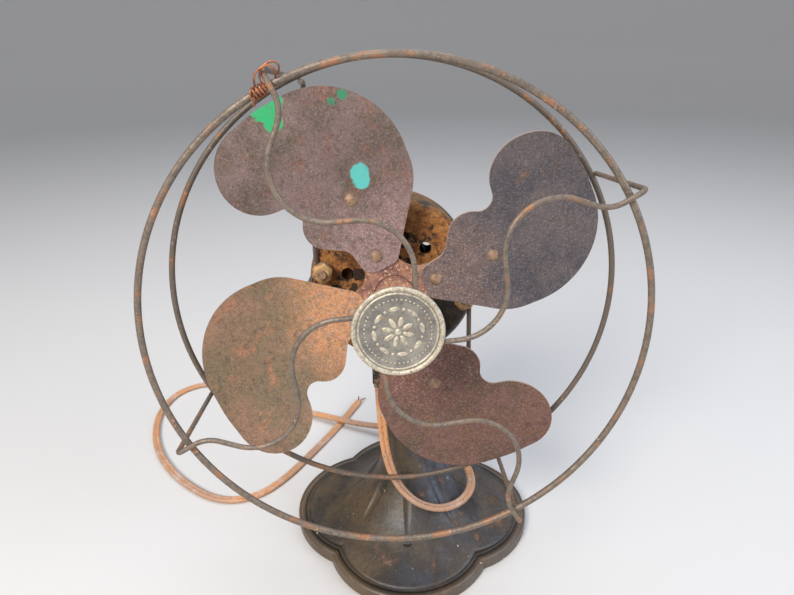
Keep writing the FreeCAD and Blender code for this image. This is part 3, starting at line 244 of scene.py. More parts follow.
def blade_finish(name, plain, shade, rust, rust_from, root, root_reach, drops=()):
    """Brown sheet steel with a fine rusted grain, cloudy patches, a different rust near the hub, and spots
    of paint on one blade; its pale dust specks carry a painted mauve sky reflection, and its sheet edges a
    painted highlight."""
    made = Finish(name, {"Specular IOR Level": 0.45})
    clouds = made.grain(34 * MM, 3.0, 0.6)
    smears = made.grain(10 * MM, 5.0, 0.72, 3.0)
    scale = made.grain(3.6 * MM, 5.0, 0.75, 5.0)
    dust = made.grain(0.9 * MM, 3.0, 0.7, 7.0)
    pits = made.grain(0.6 * MM, 3.0, 0.7, 11.0)
    hub = made.distance(HEAD.translation) + (smears - 0.5) * 0.05
    near = 1.0 - hub.between(root_reach * 0.45 * MM, root_reach * MM)
    colour = made.mix((clouds * 0.7 + smears * 0.3).between(0.42, 0.58), plain, shade)
    colour = made.mix(smears.between(rust_from, rust_from + 0.12) * 0.85, colour, rust)
    colour = made.mix(near * (0.2 + scale.between(0.38, 0.6)), colour, root)
    colour = made.mix(scale.between(0.50, 0.68) * 0.5, colour, SOOT)
    # Pale dust specks, their mauve tint a painted sky reflection.
    colour = made.mix(dust.between(0.50, 0.62) * (0.10 + near * 0.3 + smears * 0.2), colour, DUST_AND_MAUVE_SHEEN)
    colour = made.mix(pits.between(0.50, 0.64) * 0.55, colour, SOOT)
    # Painted highlight: faces that turn away from the axis, the sheet's edges, get a paler colour as if lit.
    normal = Value(made, made.node("ShaderNodeTexCoord").outputs["Normal"])
    facing = made.node("ShaderNodeVectorMath", {"operation": "DOT_PRODUCT"}, {0: normal, 1: AXIS})
    towards = Value(made, facing.outputs["Value"])
    front = towards.between(0.3, 0.6)
    flat = made.node("ShaderNodeMath", {"operation": "ABSOLUTE"}, {0: towards})
    edge = 1.0 - Value(made, flat.outputs[0]).between(0.3, 0.6)
    colour = made.mix(edge * 0.7, colour, PAINTED_EDGE_LIGHT)
    ragged = made.grain(1.8 * MM, 3.0, 0.6, 13.0) - 0.5
    for centre, radius, drop in drops:
        away = made.distance(HEAD @ (Vector(centre) * MM)) + ragged * (radius * 0.55 * MM)
        cover = 1.0 - away.between(radius * MM * 0.8, radius * MM)
        thin = 1.0 - scale.between(0.5, 0.7) * 0.6
        colour = made.mix(cover * thin * front, colour, drop)
    rough = 0.5 + smears * 0.2 + dust * 0.15
    return made.paint(colour, rough, height=dust * 0.35 + scale * 0.5 + smears * 0.4, depth=0.35 * MM)


def casting_finish(lobes, lobe_radius):
    """Worn dark enamel over cast metal: brown bloom, a painted blue-grey sky reflection on the right of the
    column, a rolled paler rim with painted shade in the groove inside it.
    """
    made = Finish("cast_base", {"Specular IOR Level": 0.6})
    clouds = made.grain(30 * MM, 4.0, 0.62)
    bloom = made.grain(11 * MM, 5.0, 0.68, 2.0)
    grime = made.grain(2.0 * MM, 4.0, 0.7, 4.0)
    fine = made.grain(0.8 * MM, 2.0, 0.6, 6.0)
    specks = made.grain(2.6 * MM, 1.0, 0.5, 8.0)
    upright = made.along((0.0, 0.0, 1.0), (0.0, 0.0, 0.0))
    right = made.along((0.97, -0.25, 0.0), (0.0, 0.0, 0.0))
    flat = (1.0, 1.0, 0.0)
    nearest = None
    for centre in lobes:
        reach = made.distance(centre, flat)
        nearest = reach if nearest is None else nearest.least(reach)
    inset = lobe_radius - nearest
    low_down = 1.0 - upright.between(9 * MM, 12 * MM)
    olive = made.mix(clouds.between(0.38, 0.62), tone(0.086, 0.056, 0.026), tone(0.020, 0.015, 0.010))
    # Painted reflection: the blue-grey steel tone is a sky reflection, laid on the right side of the column
    # and stronger higher up.
    steel = made.mix(bloom.between(0.35, 0.65), tone(0.085, 0.104, 0.150), tone(0.020, 0.021, 0.026))
    high = upright.between(15 * MM, 40 * MM)
    # Share of painted reflection: right side of the column, higher up, with cloudy edges.
    blue_sheen_share = (right + (clouds - 0.5) * 0.06).between(-6 * MM, 26 * MM) * high.most(0.30)
    colour = made.mix(blue_sheen_share, olive, steel)
    colour = made.mix(bloom.between(0.56, 0.70) * 0.8, colour, tone(0.21, 0.10, 0.05))
    colour = made.mix(grime.between(0.50, 0.66) * 0.6, colour, tone(0.016, 0.013, 0.011))
    colour = made.mix(fine.between(0.56, 0.68) * 0.22, colour, tone(0.24, 0.19, 0.14))
    bead = inset.between(0.2 * MM, 1.9 * MM) * (1.0 - inset.between(2.0 * MM, 4.6 * MM))
    groove = inset.between(3.6 * MM, 5.0 * MM) * (1.0 - inset.between(5.4 * MM, 8.0 * MM)) * low_down
    rubbed = (1.0 - inset.between(3.2 * MM, 4.8 * MM)) * low_down
    colour = made.mix(rubbed * (0.15 + bloom * 0.6), colour, tone(0.150, 0.102, 0.062))
    # Painted shade: the groove inside the rim is darkened where shadow falls in it.
    colour = made.mix(groove * 0.55, colour, tone(0.020, 0.016, 0.012))
    colour = made.mix(specks.between(0.755, 0.775) * 0.9, colour, tone(0.55, 0.50, 0.42))
    chip = made.distance((-5.0 * MM, -31.5 * MM, 16.0 * MM)) + (grime - 0.5) * 0.004
    colour = made.mix(1.0 - chip.between(2.0 * MM, 2.8 * MM), colour, tone(0.62, 0.45, 0.20))
    rough = 0.22 + bloom * 0.30 + grime * 0.16
    height = grime * 0.18 + bloom * 0.25 + (bead - groove) * low_down * 0.8
    return made.paint(colour, rough, height=height, depth=1.2 * MM)


def motor_finish():
    """Orange rust breaking through black enamel, with painted shade as more black on the lower right side."""
    made = Finish("motor_case", {"Specular IOR Level": 0.45})
    patches = made.grain(13 * MM, 5.0, 0.68)
    crust = made.grain(3.2 * MM, 4.0, 0.7, 3.0)
    pits = made.grain(1.0 * MM, 2.0, 0.6, 6.0)
    rust = made.mix(crust.between(0.35, 0.66), tone(0.46, 0.20, 0.055), tone(0.17, 0.058, 0.016))
    rust = made.mix(pits.between(0.56, 0.68) * 0.8, rust, tone(0.05, 0.02, 0.01))
    black = made.mix(crust.between(0.4, 0.7), tone(0.018, 0.016, 0.015), tone(0.07, 0.045, 0.026))
    # Painted shade: the lower right side of the case is pushed towards black, where shadow falls on it.
    lower_right = made.along(TURN @ Vector((0.8, -0.6, 0.0)), HEAD.translation)
    lower_right_shade = lower_right.between(12 * MM, 30 * MM) * 0.16
    wall = made.along(AXIS, HEAD.translation)
    side = 1.0 - wall.between(-26 * MM, -23 * MM)
    # Share of black: enamel patches, and painted shade on the lower right side.
    enamel_and_shade = (patches + lower_right_shade + side * 0.035 + (crust - 0.5) * 0.3).between(0.505, 0.56)
    rust = made.mix(side * patches.between(0.3, 0.55) * 0.7, rust, tone(0.15, 0.10, 0.045))
    colour = made.mix(enamel_and_shade, rust, black)
    rough = 0.78 - enamel_and_shade * 0.40
    return made.paint(colour, rough, height=crust + pits * 0.4 - enamel_and_shade * 0.4, depth=0.3 * MM)


def spider_finish():
    """Pink and orange rust, flecked with pale scale."""
    made = Finish("spider_steel", {"Specular IOR Level": 0.4})
    patches = made.grain(7 * MM, 4.0, 0.65)
    crust = made.grain(1.9 * MM, 3.0, 0.65, 3.0)
    flecks = made.grain(1.2 * MM, 2.0, 0.6, 6.0)
    colour = made.mix(patches.between(0.38, 0.6), tone(0.42, 0.21, 0.12), tone(0.22, 0.10, 0.085))
    colour = made.mix(crust.between(0.54, 0.7) * 0.8, colour, tone(0.12, 0.05, 0.02))
    colour = made.mix(flecks.between(0.58, 0.66), colour, tone(0.60, 0.42, 0.28))
    return made.paint(colour, 0.6 + crust * 0.3, height=crust + flecks * 0.5, depth=0.3 * MM)


def guard_finish(name, plain, rust, rust_from):
    """Grey-brown steel wire with rust that comes and goes along it."""
    made = Finish(name, {"Specular IOR Level": 0.6})
    lengths = made.grain(9 * MM, 4.0, 0.66)
    crust = made.grain(2.2 * MM, 4.0, 0.7, 3.0)
    pits = made.grain(0.8 * MM, 2.0, 0.6, 5.0)
    colour = made.mix(crust.between(0.42, 0.62), plain, tone(0.115, 0.092, 0.074))
    low_down = 1.0 - made.along((0.0, 0.0, 1.0), (0.0, 0.0, 0.0)).between(35 * MM, 90 * MM)
    eaten = lengths * 0.7 + crust * 0.3 + low_down * 0.07
    colour = made.mix(eaten.between(rust_from, rust_from + 0.10), colour, rust)
    colour = made.mix(crust.between(0.60, 0.70) * 0.7, colour, tone(0.50, 0.43, 0.36))
    colour = made.mix(pits.between(0.56, 0.68) * 0.5, colour, SOOT)
    metal = 0.5 - crust * 0.45
    return made.paint(colour, 0.33 + crust * 0.35, metal, crust + pits * 0.4, 0.25 * MM)


def nickel_finish():
    """Corroded nickel plate, dark in the hollows of the relief and rubbed pale on its high parts."""
    made = Finish("badge_nickel", {"Specular IOR Level": 0.5})
    seat = head_box("badge_front")[0].z
    lift = made.along(AXIS, HEAD @ Vector((0, 0, seat)))
    stain = made.grain(6 * MM, 4.0, 0.65)
    crust = made.grain(1.4 * MM, 3.0, 0.6, 3.0)
    pits = made.grain(0.6 * MM, 1.0, 0.5, 5.0)
    ground = made.mix(stain.between(0.38, 0.62), tone(0.25, 0.235, 0.205), tone(0.145, 0.140, 0.132))
    raised = lift.between(1.02 * MM, 1.32 * MM)
    bright = made.mix(crust.between(0.4, 0.65), tone(0.62, 0.56, 0.44), tone(0.40, 0.35, 0.27))
    colour = made.mix(raised, ground, bright)
    colour = made.mix(stain.between(0.56, 0.70) * 0.6, colour, tone(0.38, 0.27, 0.16))
    colour = made.mix(pits.between(0.60, 0.70) * 0.6, colour, tone(0.05, 0.045, 0.04))
    metal = 0.25 + raised * 0.4 - stain * 0.2
    return made.paint(colour, 0.42 + crust * 0.25, metal, crust + pits * 0.5, 0.12 * MM)


def brass_finish():
    """Dull brass with brown dirt in its corners."""
    made = Finish("brass_parts", {"Specular IOR Level": 0.5})
    stain = made.grain(4 * MM, 4.0, 0.65)
    dirt = made.grain(1.2 * MM, 3.0, 0.6, 3.0)
    colour = made.mix(stain.between(0.35, 0.65), tone(0.66, 0.43, 0.21), tone(0.44, 0.25, 0.11))
    colour = made.mix(dirt.between(0.54, 0.68) * 0.75, colour, tone(0.09, 0.05, 0.025))
    return made.paint(colour, 0.4 + dirt * 0.35, 0.7 - dirt * 0.4, dirt, 0.1 * MM)


def fastener_finish():
    """Brown rusted screws, rivets and bolts."""
    made = Finish("fastener_steel", {"Specular IOR Level": 0.45})
    stain = made.grain(3 * MM, 4.0, 0.65)
    pits = made.grain(0.9 * MM, 2.0, 0.6, 3.0)
    colour = made.mix(stain.between(0.35, 0.65), tone(0.38, 0.24, 0.15), tone(0.19, 0.12, 0.085))
    colour = made.mix(pits.between(0.55, 0.68) * 0.7, colour, SOOT)
    return made.paint(colour, 0.45 + stain * 0.3, 0.35 - pits * 0.2, stain + pits, 0.12 * MM)


def cord_finish():
    """Old moulded cord: orange tan, greyed and rubbed where it is handled."""
    made = Finish("cord_jacket", {"Specular IOR Level": 0.45})
    lengths = made.grain(45 * MM, 3.0, 0.6)
    rubbed = made.grain(7 * MM, 4.0, 0.65, 3.0)
    dirt = made.grain(1.6 * MM, 3.0, 0.6, 5.0)
    colour = made.mix(lengths.between(0.38, 0.6), tone(0.60, 0.29, 0.135), tone(0.44, 0.255, 0.165))
    colour = made.mix(rubbed.between(0.5, 0.68) * 0.8, colour, tone(0.54, 0.41, 0.33))
    colour = made.mix(dirt.between(0.54, 0.7) * 0.6, colour, tone(0.12, 0.075, 0.05))
    return made.paint(colour, 0.45 + rubbed * 0.25, height=dirt + rubbed, depth=0.12 * MM)


def spring_finish():
    """Spring wire that is black in places and rubbed tan in others."""
    made = Finish("spring_steel", {"Specular IOR Level": 0.5})
    stain = made.grain(2.4 * MM, 3.0, 0.6)
    colour = made.mix(stain.between(0.42, 0.58), tone(0.03, 0.026, 0.024), tone(0.36, 0.24, 0.15))
    return made.paint(colour, 0.4 + stain * 0.3, height=stain, depth=0.08 * MM)


def striped_finish(name, light, dark, spacing, metallic, roughness):
    """Thin layers stacked along the fan's axis, as laminations and windings show."""
    made = Finish(name, {"Specular IOR Level": 0.5})
    depth = made.along(AXIS, HEAD.translation)
    made_wave = made.node("ShaderNodeMath", {"operation": "SINE"}, {0: depth * (FULL_TURN / spacing)})
    wave = Value(made, made_wave.outputs[0]) * 0.5 + 0.5
    stain = made.grain(5 * MM, 3.0, 0.6)
    colour = made.mix(wave * 0.6 + stain * 0.4, dark, light)
    made.shader.inputs["Metallic"].default_value = metallic
    return made.paint(colour, roughness + stain * 0.2, height=wave, depth=0.15 * MM)


def stained_finish(name, light, dark, size, metallic, roughness, relief=0.08):
    """A plain material with stains of its own size, for pieces that are seldom seen."""
    made = Finish(name, {"Specular IOR Level": 0.5, "Metallic": metallic})
    stain = made.grain(size, 4.0, 0.65)
    fine = made.grain(size * 0.2, 3.0, 0.6, 3.0)
    colour = made.mix(stain.between(0.35, 0.65), light, dark)
    colour = made.mix(fine.between(0.55, 0.72) * 0.5, colour, dark)
    return made.paint(colour, roughness + fine * 0.2, height=stain + fine, depth=relief * MM)


# ---------------------------------------------------------------- shapes

# Steps between two points of a smooth line, and how near two corners are joined.
CURVE_STEPS = 12
WELD = 0.002 * MM


def head_box(node):
    """Lowest and highest corner of a CAD node in the head's frame, whose Z is the fan's axis."""
    into = HEAD.inverted()
    places = [into @ corner.co for corner in frame["nodes"][node].data.vertices]
    low = Vector([min(place[i] for place in places) for i in range(3)])
    high = Vector([max(place[i] for place in places) for i in range(3)])
    return low, high


def dress(finish, *nodes):
    """Gives CAD nodes a finish."""
    for node in nodes:
        shown = frame["nodes"][node]
        if not shown.material_slots:
            shown.data.materials.append(finish.material)
        for slot in shown.material_slots:
            slot.material = finish.material


def add_piece(name, bm, finish, body, place=HEAD, crease=math.radians(40)):
    """Turns a bmesh into a piece that rides on a body."""
    bmesh.ops.remove_doubles(bm, verts=bm.verts[:], dist=WELD / 2)
    bmesh.ops.recalc_face_normals(bm, faces=bm.faces[:])
    bm.transform(place)
    mesh = bpy.data.meshes.new(name)
    for face in bm.faces:
        face.smooth = True
    bm.to_mesh(mesh)
    bm.free()
    mesh.set_sharp_from_angle(angle=crease)
    mesh.materials.append(finish.material)
    shown = bpy.data.objects.new(name, mesh)
    bpy.context.scene.collection.objects.link(shown)
    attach(shown, body)
    return shown


def lathe(bm, profile, steps):
    """Spins a profile of (radius, height) round the axis; ends on the axis are closed."""
    corners = [bm.verts.new((radius, 0, height)) for radius, height in profile]
    edges = [bm.edges.new(pair) for pair in zip(corners, corners[1:])]
    bmesh.ops.spin(bm, geom=corners + edges, cent=(0, 0, 0), axis=(0, 0, 1), angle=FULL_TURN,
                   steps=steps, use_merge=True)
    bmesh.ops.remove_doubles(bm, verts=bm.verts[:], dist=WELD)


def nurbs(name, points):
    """A curve object of one smooth spline with these control points."""
    line = bpy.data.curves.new(name, "CURVE")
    line.dimensions = "3D"
    line.resolution_u = CURVE_STEPS
    spline = line.splines.new("NURBS")
    spline.points.add(len(points) - 1)
    for place, point in zip(spline.points, points):
        place.co = (*point, 1.0)
    spline.order_u = 3
    spline.use_endpoint_u = True
    made = bpy.data.objects.new(name, line)
    bpy.context.scene.collection.objects.link(made)
    return made


def as_mesh(curve):
    """The mesh of a curve object as it is shown."""
    bpy.context.view_layer.update()
    graph = bpy.context.evaluated_depsgraph_get()
    return bpy.data.meshes.new_from_object(curve.evaluated_get(graph), depsgraph=graph)


def bent_wire(name, points, diameter, finish, body):
    """A round wire along a smooth line."""
    curve = nurbs(name + "_line", points)
    curve.data.bevel_depth = diameter / 2
    curve.data.bevel_resolution = 3
    curve.data.use_fill_caps = True
    mesh = as_mesh(curve)
    bpy.data.objects.remove(curve)
    bm = bmesh.new()
    bm.from_mesh(mesh)
    return add_piece(name, bm, finish, body, place=Matrix.Identity(4))


def in_head(radius, degrees, height):
    """A place given in millimetres and degrees round the fan's axis."""
    angle = math.radians(degrees)
    return HEAD @ (Vector((radius * math.cos(angle), radius * math.sin(angle), height)) * MM)


# ---------------------------------------------------------------- settings

class GuardSettings(bpy.types.PropertyGroup):
    """Sizes of the guard's fine pieces."""
    hoop_steps: IntProperty(name="Hoop steps", description="Steps round each hoop", default=168, min=48)
    wire_sides: IntProperty(name="Wire sides", description="Sides of the hoops' wire", default=14, min=6)
    binding_wire: FloatProperty(
        name="Binding wire", description="Diameter of the copper tails", default=0.75 * MM, unit="LENGTH")
    petals: IntProperty(name="Petals", description="Petals of the badge's rosette", default=8, min=4)


class CordSettings(bpy.types.PropertyGroup):
    """Sizes of the twin cord."""
    width: FloatProperty(name="Width", description="Across both strands", default=5.2 * MM, unit="LENGTH")
    thickness: FloatProperty(
        name="Thickness", description="Through one strand", default=2.9 * MM, unit="LENGTH")
    length: FloatProperty(
        name="Length", description="Along the cord's own line", default=0.745, unit="LENGTH")


class BladeSettings(bpy.types.PropertyGroup):
    """Colours of the blades."""
    mauve: FloatVectorProperty(
        name="Mauve", description="Upper blade", subtype="COLOR", size=4, default=(0.185, 0.120, 0.108, 1.0))
    tan: FloatVectorProperty(
        name="Tan", description="Left blade", subtype="COLOR", size=4, default=(0.250, 0.138, 0.084, 1.0))
    russet: FloatVectorProperty(
        name="Russet", description="Lower blade", subtype="COLOR", size=4, default=(0.165, 0.08, 0.062, 1.0))
    slate: FloatVectorProperty(
        name="Slate", description="Right blade", subtype="COLOR", size=4, default=(0.115, 0.092, 0.095, 1.0))


class StageSettings(bpy.types.PropertyGroup):
    """The floor and the lights."""
    floor_tone: FloatVectorProperty(
        name="Floor", description="Floor colour", subtype="COLOR", size=4, default=(0.62, 0.61, 0.60, 1.0))
    key_power: FloatProperty(name="Key", description="Main lamp in watts", default=15.0, min=0.0)
    fill_power: FloatProperty(name="Fill", description="Fill lamp in watts", default=5.0, min=0.0)
    lens: FloatProperty(name="Lens", description="Focal length in millimetres", default=27.02, min=1.0)


# ---------------------------------------------------------------- operators

def aim(obj, target):
    """Turns an object's own -Z towards a point."""
    obj.rotation_euler = (Vector(target) - obj.location).to_track_quat("-Z", "Y").to_euler()


def add_lamp(name, place, target, size, power, tint):
    lamp = bpy.data.lights.new(name, "AREA")
    lamp.size = size
    lamp.energy = power
    lamp.color = tint
    shown = bpy.data.objects.new(name, lamp)
    shown.location = place
    bpy.context.scene.collection.objects.link(shown)
    aim(shown, target)


def add_floor(colour):
    """A pale floor that curves up far behind the fan."""
    bm = bmesh.new()
    lathe(bm, FLOOR_PROFILE, FLOOR_STEPS)
    for face in bm.faces:
        face.smooth = True
    bmesh.ops.reverse_faces(bm, faces=[face for face in bm.faces if face.normal.z < 0])
    mesh = bpy.data.meshes.new("floor")
    bm.to_mesh(mesh)
    bm.free()
    floor = bpy.data.objects.new("floor", mesh)
    floor.location.z = CAD_BOX[0].z
    bpy.context.scene.collection.objects.link(floor)
    paper = Finish("floor_paper", {"Roughness": 0.9, "Base Color": colour})
    mesh.materials.append(paper.material)


def add_sky(scene):
    """An even pale light from all round."""
    world = bpy.data.worlds.new("studio")
    scene.world = world
    world.use_nodes = True
    sky = world.node_tree.nodes["Background"]
    sky.inputs["Color"].default_value = SKY_TINT
    sky.inputs["Strength"].default_value = SKY_STRENGTH
    scene.view_settings.view_transform = "Standard"


def add_camera(scene, focal_length):
    lens = bpy.data.cameras.new("camera")
    lens.lens = focal_length
    lens.sensor_width = SENSOR_WIDTH
    lens.clip_start = NEAREST_SHOWN
    camera = bpy.data.objects.new("camera", lens)
    scene.collection.objects.link(camera)
    forward = CAMERA_FORWARD.normalized()
    across = forward.cross(CAMERA_UP).normalized()
    facing = Matrix((across, across.cross(forward), -forward)).transposed().to_4x4()
    camera.matrix_world = Matrix.Translation(CAMERA_PLACE) @ facing
    scene.camera = camera


class DESKFAN_OT_stage(bpy.types.Operator):
    """Sets out the floor, the lamps and the camera"""
    bl_idname = "desk_fan.stage"
    bl_label = "Stage"

    def execute(self, context):
        stage = context.scene.desk_fan_stage
        add_floor(stage.floor_tone)
        middle = (CAD_BOX[0] + CAD_BOX[1]) / 2
        for name, place, size, power, tint in LAMPS:
            add_lamp(name, place, middle, size, getattr(stage, power), tint)
        add_sky(context.scene)
        add_camera(context.scene, stage.lens)
        return {"FINISHED"}


class DESKFAN_OT_stand(bpy.types.Operator):
    """Finishes the stand, its underside and the tilting joint"""
    bl_idname = "desk_fan.stand"
    bl_label = "Stand"

    def execute(self, context):
        centre = Vector((FOOT_REACH - LOBE_RADIUS, 0, 0))
        lobes = []
        for index in range(LOBE_COUNT):
            turn = math.radians(FOOT_TURN + 360.0 / LOBE_COUNT * index)
            lobes.append(Matrix.Rotation(turn, 3, "Z") @ centre)
        dress(casting_finish(lobes, LOBE_RADIUS), "stand_casting")
        light = tone(0.10, 0.085, 0.07)
        dark = tone(0.035, 0.03, 0.026)
        dress(stained_finish("post_steel", light, dark, 8 * MM, 0.4, 0.4), "pivot_post", "neck_lug")
        light = tone(0.17, 0.15, 0.13)
        dark = tone(0.10, 0.05, 0.03)
        dress(stained_finish("cover_plate", light, dark, 14 * MM, 0.6, 0.4), "bottom_plate", "pivot_washers")
        light = tone(0.07, 0.085, 0.06)
        dark = tone(0.035, 0.04, 0.03)
        dress(stained_finish("felt", light, dark, 4 * MM, 0.0, 0.85, 0.5), "bottom_felt")
        return {"FINISHED"}


class DESKFAN_OT_motor(bpy.types.Operator):
    """Finishes the motor's shells and everything inside them"""
    bl_idname = "desk_fan.motor"
    bl_label = "Motor"

    def execute(self, context):
        dress(motor_finish(), "motor_front_shell", "motor_rear_shell")
        layers = (
            ("lamination_steel", tone(0.30, 0.29, 0.28), tone(0.10, 0.09, 0.08), 1.0, 0.8, 0.4,
             ("stator_core", "rotor_core")),
            ("winding", tone(0.42, 0.15, 0.05), tone(0.14, 0.05, 0.02), 0.8, 0.3, 0.35,
             ("stator_coils",)),
        )
        for name, light, dark, spacing, metallic, roughness, nodes in layers:
            dress(striped_finish(name, light, dark, spacing * MM, metallic, roughness), *nodes)
        stained = (
            ("bearing_bronze", tone(0.42, 0.26, 0.10), tone(0.2, 0.12, 0.05), 3.0, 0.8, 0.35,
             ("front_bearing", "rear_bearing")),
            ("bush_fibre", tone(0.05, 0.04, 0.035), tone(0.02, 0.016, 0.014), 2.0, 0.0, 0.6,
             ("cord_bushing", "shaft_spacers")),
            ("shaft_steel", tone(0.34, 0.32, 0.30), tone(0.15, 0.11, 0.08), 5.0, 0.85, 0.3,
             ("shaft",)),
            ("rotor_aluminium", tone(0.50, 0.49, 0.47), tone(0.3, 0.29, 0.27), 5.0, 0.8, 0.4,
             ("rotor_end_rings",)),
        )
        for name, light, dark, size, metallic, roughness, nodes in stained:
            dress(stained_finish(name, light, dark, size * MM, metallic, roughness), *nodes)
        return {"FINISHED"}


class DESKFAN_OT_fasteners(bpy.types.Operator):
    """Finishes the bolts, nuts, screws, rivets and washers"""
    bl_idname = "desk_fan.fasteners"
    bl_label = "Fasteners"

    def execute(self, context):
        dress(fastener_finish(), "bottom_screws", "pivot_bolt", "neck_screws", "through_bolts",
              "hub_set_screw", "blade_rivets")
        dress(brass_finish(), "bolt_nuts", "wing_nut", "bolt_washers")
        dress(spring_finish(), "strain_relief_spring")
        return {"FINISHED"}


class DESKFAN_OT_blades(bpy.types.Operator):
    """Finishes the four blades and the spider that carries them"""
    bl_idname = "desk_fan.blades"
    bl_label = "Blades"

    def execute(self, context):
        tones = context.scene.desk_fan_blades
        leaf = tone(0.02, 0.36, 0.13)
        moss = tone(0.03, 0.20, 0.10)
        sea = tone(0.10, 0.47, 0.42)
        drops = [((-52.5, 86.5, 3.6), 8.4, leaf), ((-49.5, 78.5, 3.0), 4.6, leaf),
                 ((-20.3, 89.6, -2.7), 2.5, moss), ((-25.0, 86.6, -1.9), 2.0, moss),
                 ((-14.2, 56.6, -1.4), 4.7, sea), ((-13.6, 53.4, -1.2), 4.2, sea)]
        looks = [
            ("blade_1", tones.mauve, tone(0.098, 0.072, 0.050), tone(0.22, 0.100, 0.070), 0.53,
             tone(0.33, 0.200, 0.190), 60.0, drops),
            ("blade_2", tones.tan, tone(0.150, 0.108, 0.060), tone(0.34, 0.150, 0.075), 0.52,
             tone(0.56, 0.25, 0.10), 62.0, ()),
            ("blade_3", tones.russet, tone(0.088, 0.056, 0.036), tone(0.19, 0.090, 0.035), 0.53,
             tone(0.20, 0.075, 0.055), 70.0, ()),
            ("blade_4", tones.slate, tone(0.062, 0.060, 0.072), tone(0.15, 0.088, 0.06), 0.56,
             tone(0.20, 0.125, 0.105), 60.0, ()),
        ]
        for label, plain, shade, rust, rust_from, root, root_reach, paint in looks:
            finish = blade_finish(label + "_steel", plain, shade, rust, rust_from, root, root_reach, paint)
            dress(finish, label)
        dress(spider_finish(), "spider", "hub_collar")
        return {"FINISHED"}


class DESKFAN_OT_guard(bpy.types.Operator):
    """Makes the guard's two hoops and finishes its spokes and supports"""
    bl_idname = "desk_fan.guard"
    bl_label = "Guard"

    def execute(self, context):
        guard = context.scene.desk_fan_guard
        front = guard_finish("guard_wire", tone(0.205, 0.160, 0.122), tone(0.32, 0.155, 0.078), 0.515)
        rear = guard_finish("guard_wire_dark", tone(0.135, 0.104, 0.080), tone(0.25, 0.122, 0.060), 0.525)
        for label, finish in (("front_ring", front), ("rear_ring", rear)):
            low, high = head_box(label)
            wire = high.z - low.z
            reach = (high.x - low.x) / 2 - wire / 2
            bm = bmesh.new()
            middle = Matrix.Translation((reach, 0, (low.z + high.z) / 2))
            stand_up = middle @ Matrix.Rotation(math.pi / 2, 4, "X")
            bmesh.ops.create_circle(
                bm, cap_ends=False, segments=guard.wire_sides, radius=wire / 2, matrix=stand_up)
            bmesh.ops.spin(bm, geom=bm.verts[:] + bm.edges[:], cent=(0, 0, 0), axis=(0, 0, 1),
                           angle=FULL_TURN, steps=guard.hoop_steps, use_merge=True)
            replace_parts(add_piece(label + "_wire", bm, finish, "head"), label)
        dress(front, "spoke_1", "spoke_2", "spoke_3", "spoke_4")
        dress(rear, "cage_support_left", "cage_support_right")
        return {"FINISHED"}


def badge_profile(radius):
    """The badge's section in millimetres: a rolled rim, a bead inside it, and a slightly domed face."""
    rim = [(0.5, 0.0), (0.1, 0.4), (0.0, 0.9), (0.12, 1.4), (0.5, 1.8), (1.05, 1.98), (1.6, 1.8),
           (1.95, 1.35)]
    bead = [(2.15, 1.05), (2.4, 1.1), (2.65, 1.38), (2.95, 1.42), (3.2, 1.2), (3.4, BADGE_FACE)]
    edge = [(radius - inward, up) for inward, up in rim + bead]
    return [(0.0, 0.0)] + edge + [(radius * 0.4, BADGE_FACE + 0.08), (0.0, BADGE_FACE + 0.1)]


def lump(turn, circle, stretch):
    """Places a unit ball, stretched to these half widths in millimetres, on a circle of the badge's face."""
    out = Matrix.Translation((circle * MM, 0, BADGE_FACE * MM))
    return Matrix.Rotation(turn, 4, "Z") @ out @ Matrix.Diagonal((*stretch, 1.0))


def badge_relief(petals):
    """The rosette, the border of long and round beads, and the ring of fine beads."""
    step = FULL_TURN / petals
    relief = []
    for index in range(petals):
        relief.append((lump(step * index, PETAL_CIRCLE, (2.6, 1.15, 0.55)), 10))
        relief.append((lump(step * (index + 0.5), BORDER_CIRCLE, (1.1, 2.5, 0.45)), 10))
        relief.append((lump(step * index, BORDER_CIRCLE, (0.75, 0.75, 0.55)), 8))
    for index in range(petals * BEADS_PER_PETAL):
        relief.append((lump(step / BEADS_PER_PETAL * index, BEAD_CIRCLE, (0.5, 0.5, 0.4)), 6))
    relief.append((lump(0.0, 0.0, (1.5, 1.5, 0.7)), 12))
    return relief


class DESKFAN_OT_badge(bpy.types.Operator):
    """Makes the badge: a rolled double rim round a plain rosette"""
    bl_idname = "desk_fan.badge"
    bl_label = "Badge"

    def execute(self, context):
        low, high = head_box("badge_front")
        radius = (high.x - low.x) / 2 / MM
        bm = bmesh.new()
        lathe(bm, [(out * MM, up * MM) for out, up in badge_profile(radius)], BADGE_STEPS)
        for place, segments in badge_relief(context.scene.desk_fan_guard.petals):
            bmesh.ops.create_uvsphere(bm, u_segments=segments, v_segments=6, radius=MM, matrix=place)
        seat = Matrix.Translation((0, 0, low.z)) @ Matrix.Rotation(math.radians(BADGE_TURN), 4, "Z")
        finish = nickel_finish()
        shown = add_piece("badge_plate", bm, finish, "head", HEAD @ seat, math.radians(60))
        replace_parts(shown, "badge_front")
        dress(finish, "badge_back")
        return {"FINISHED"}


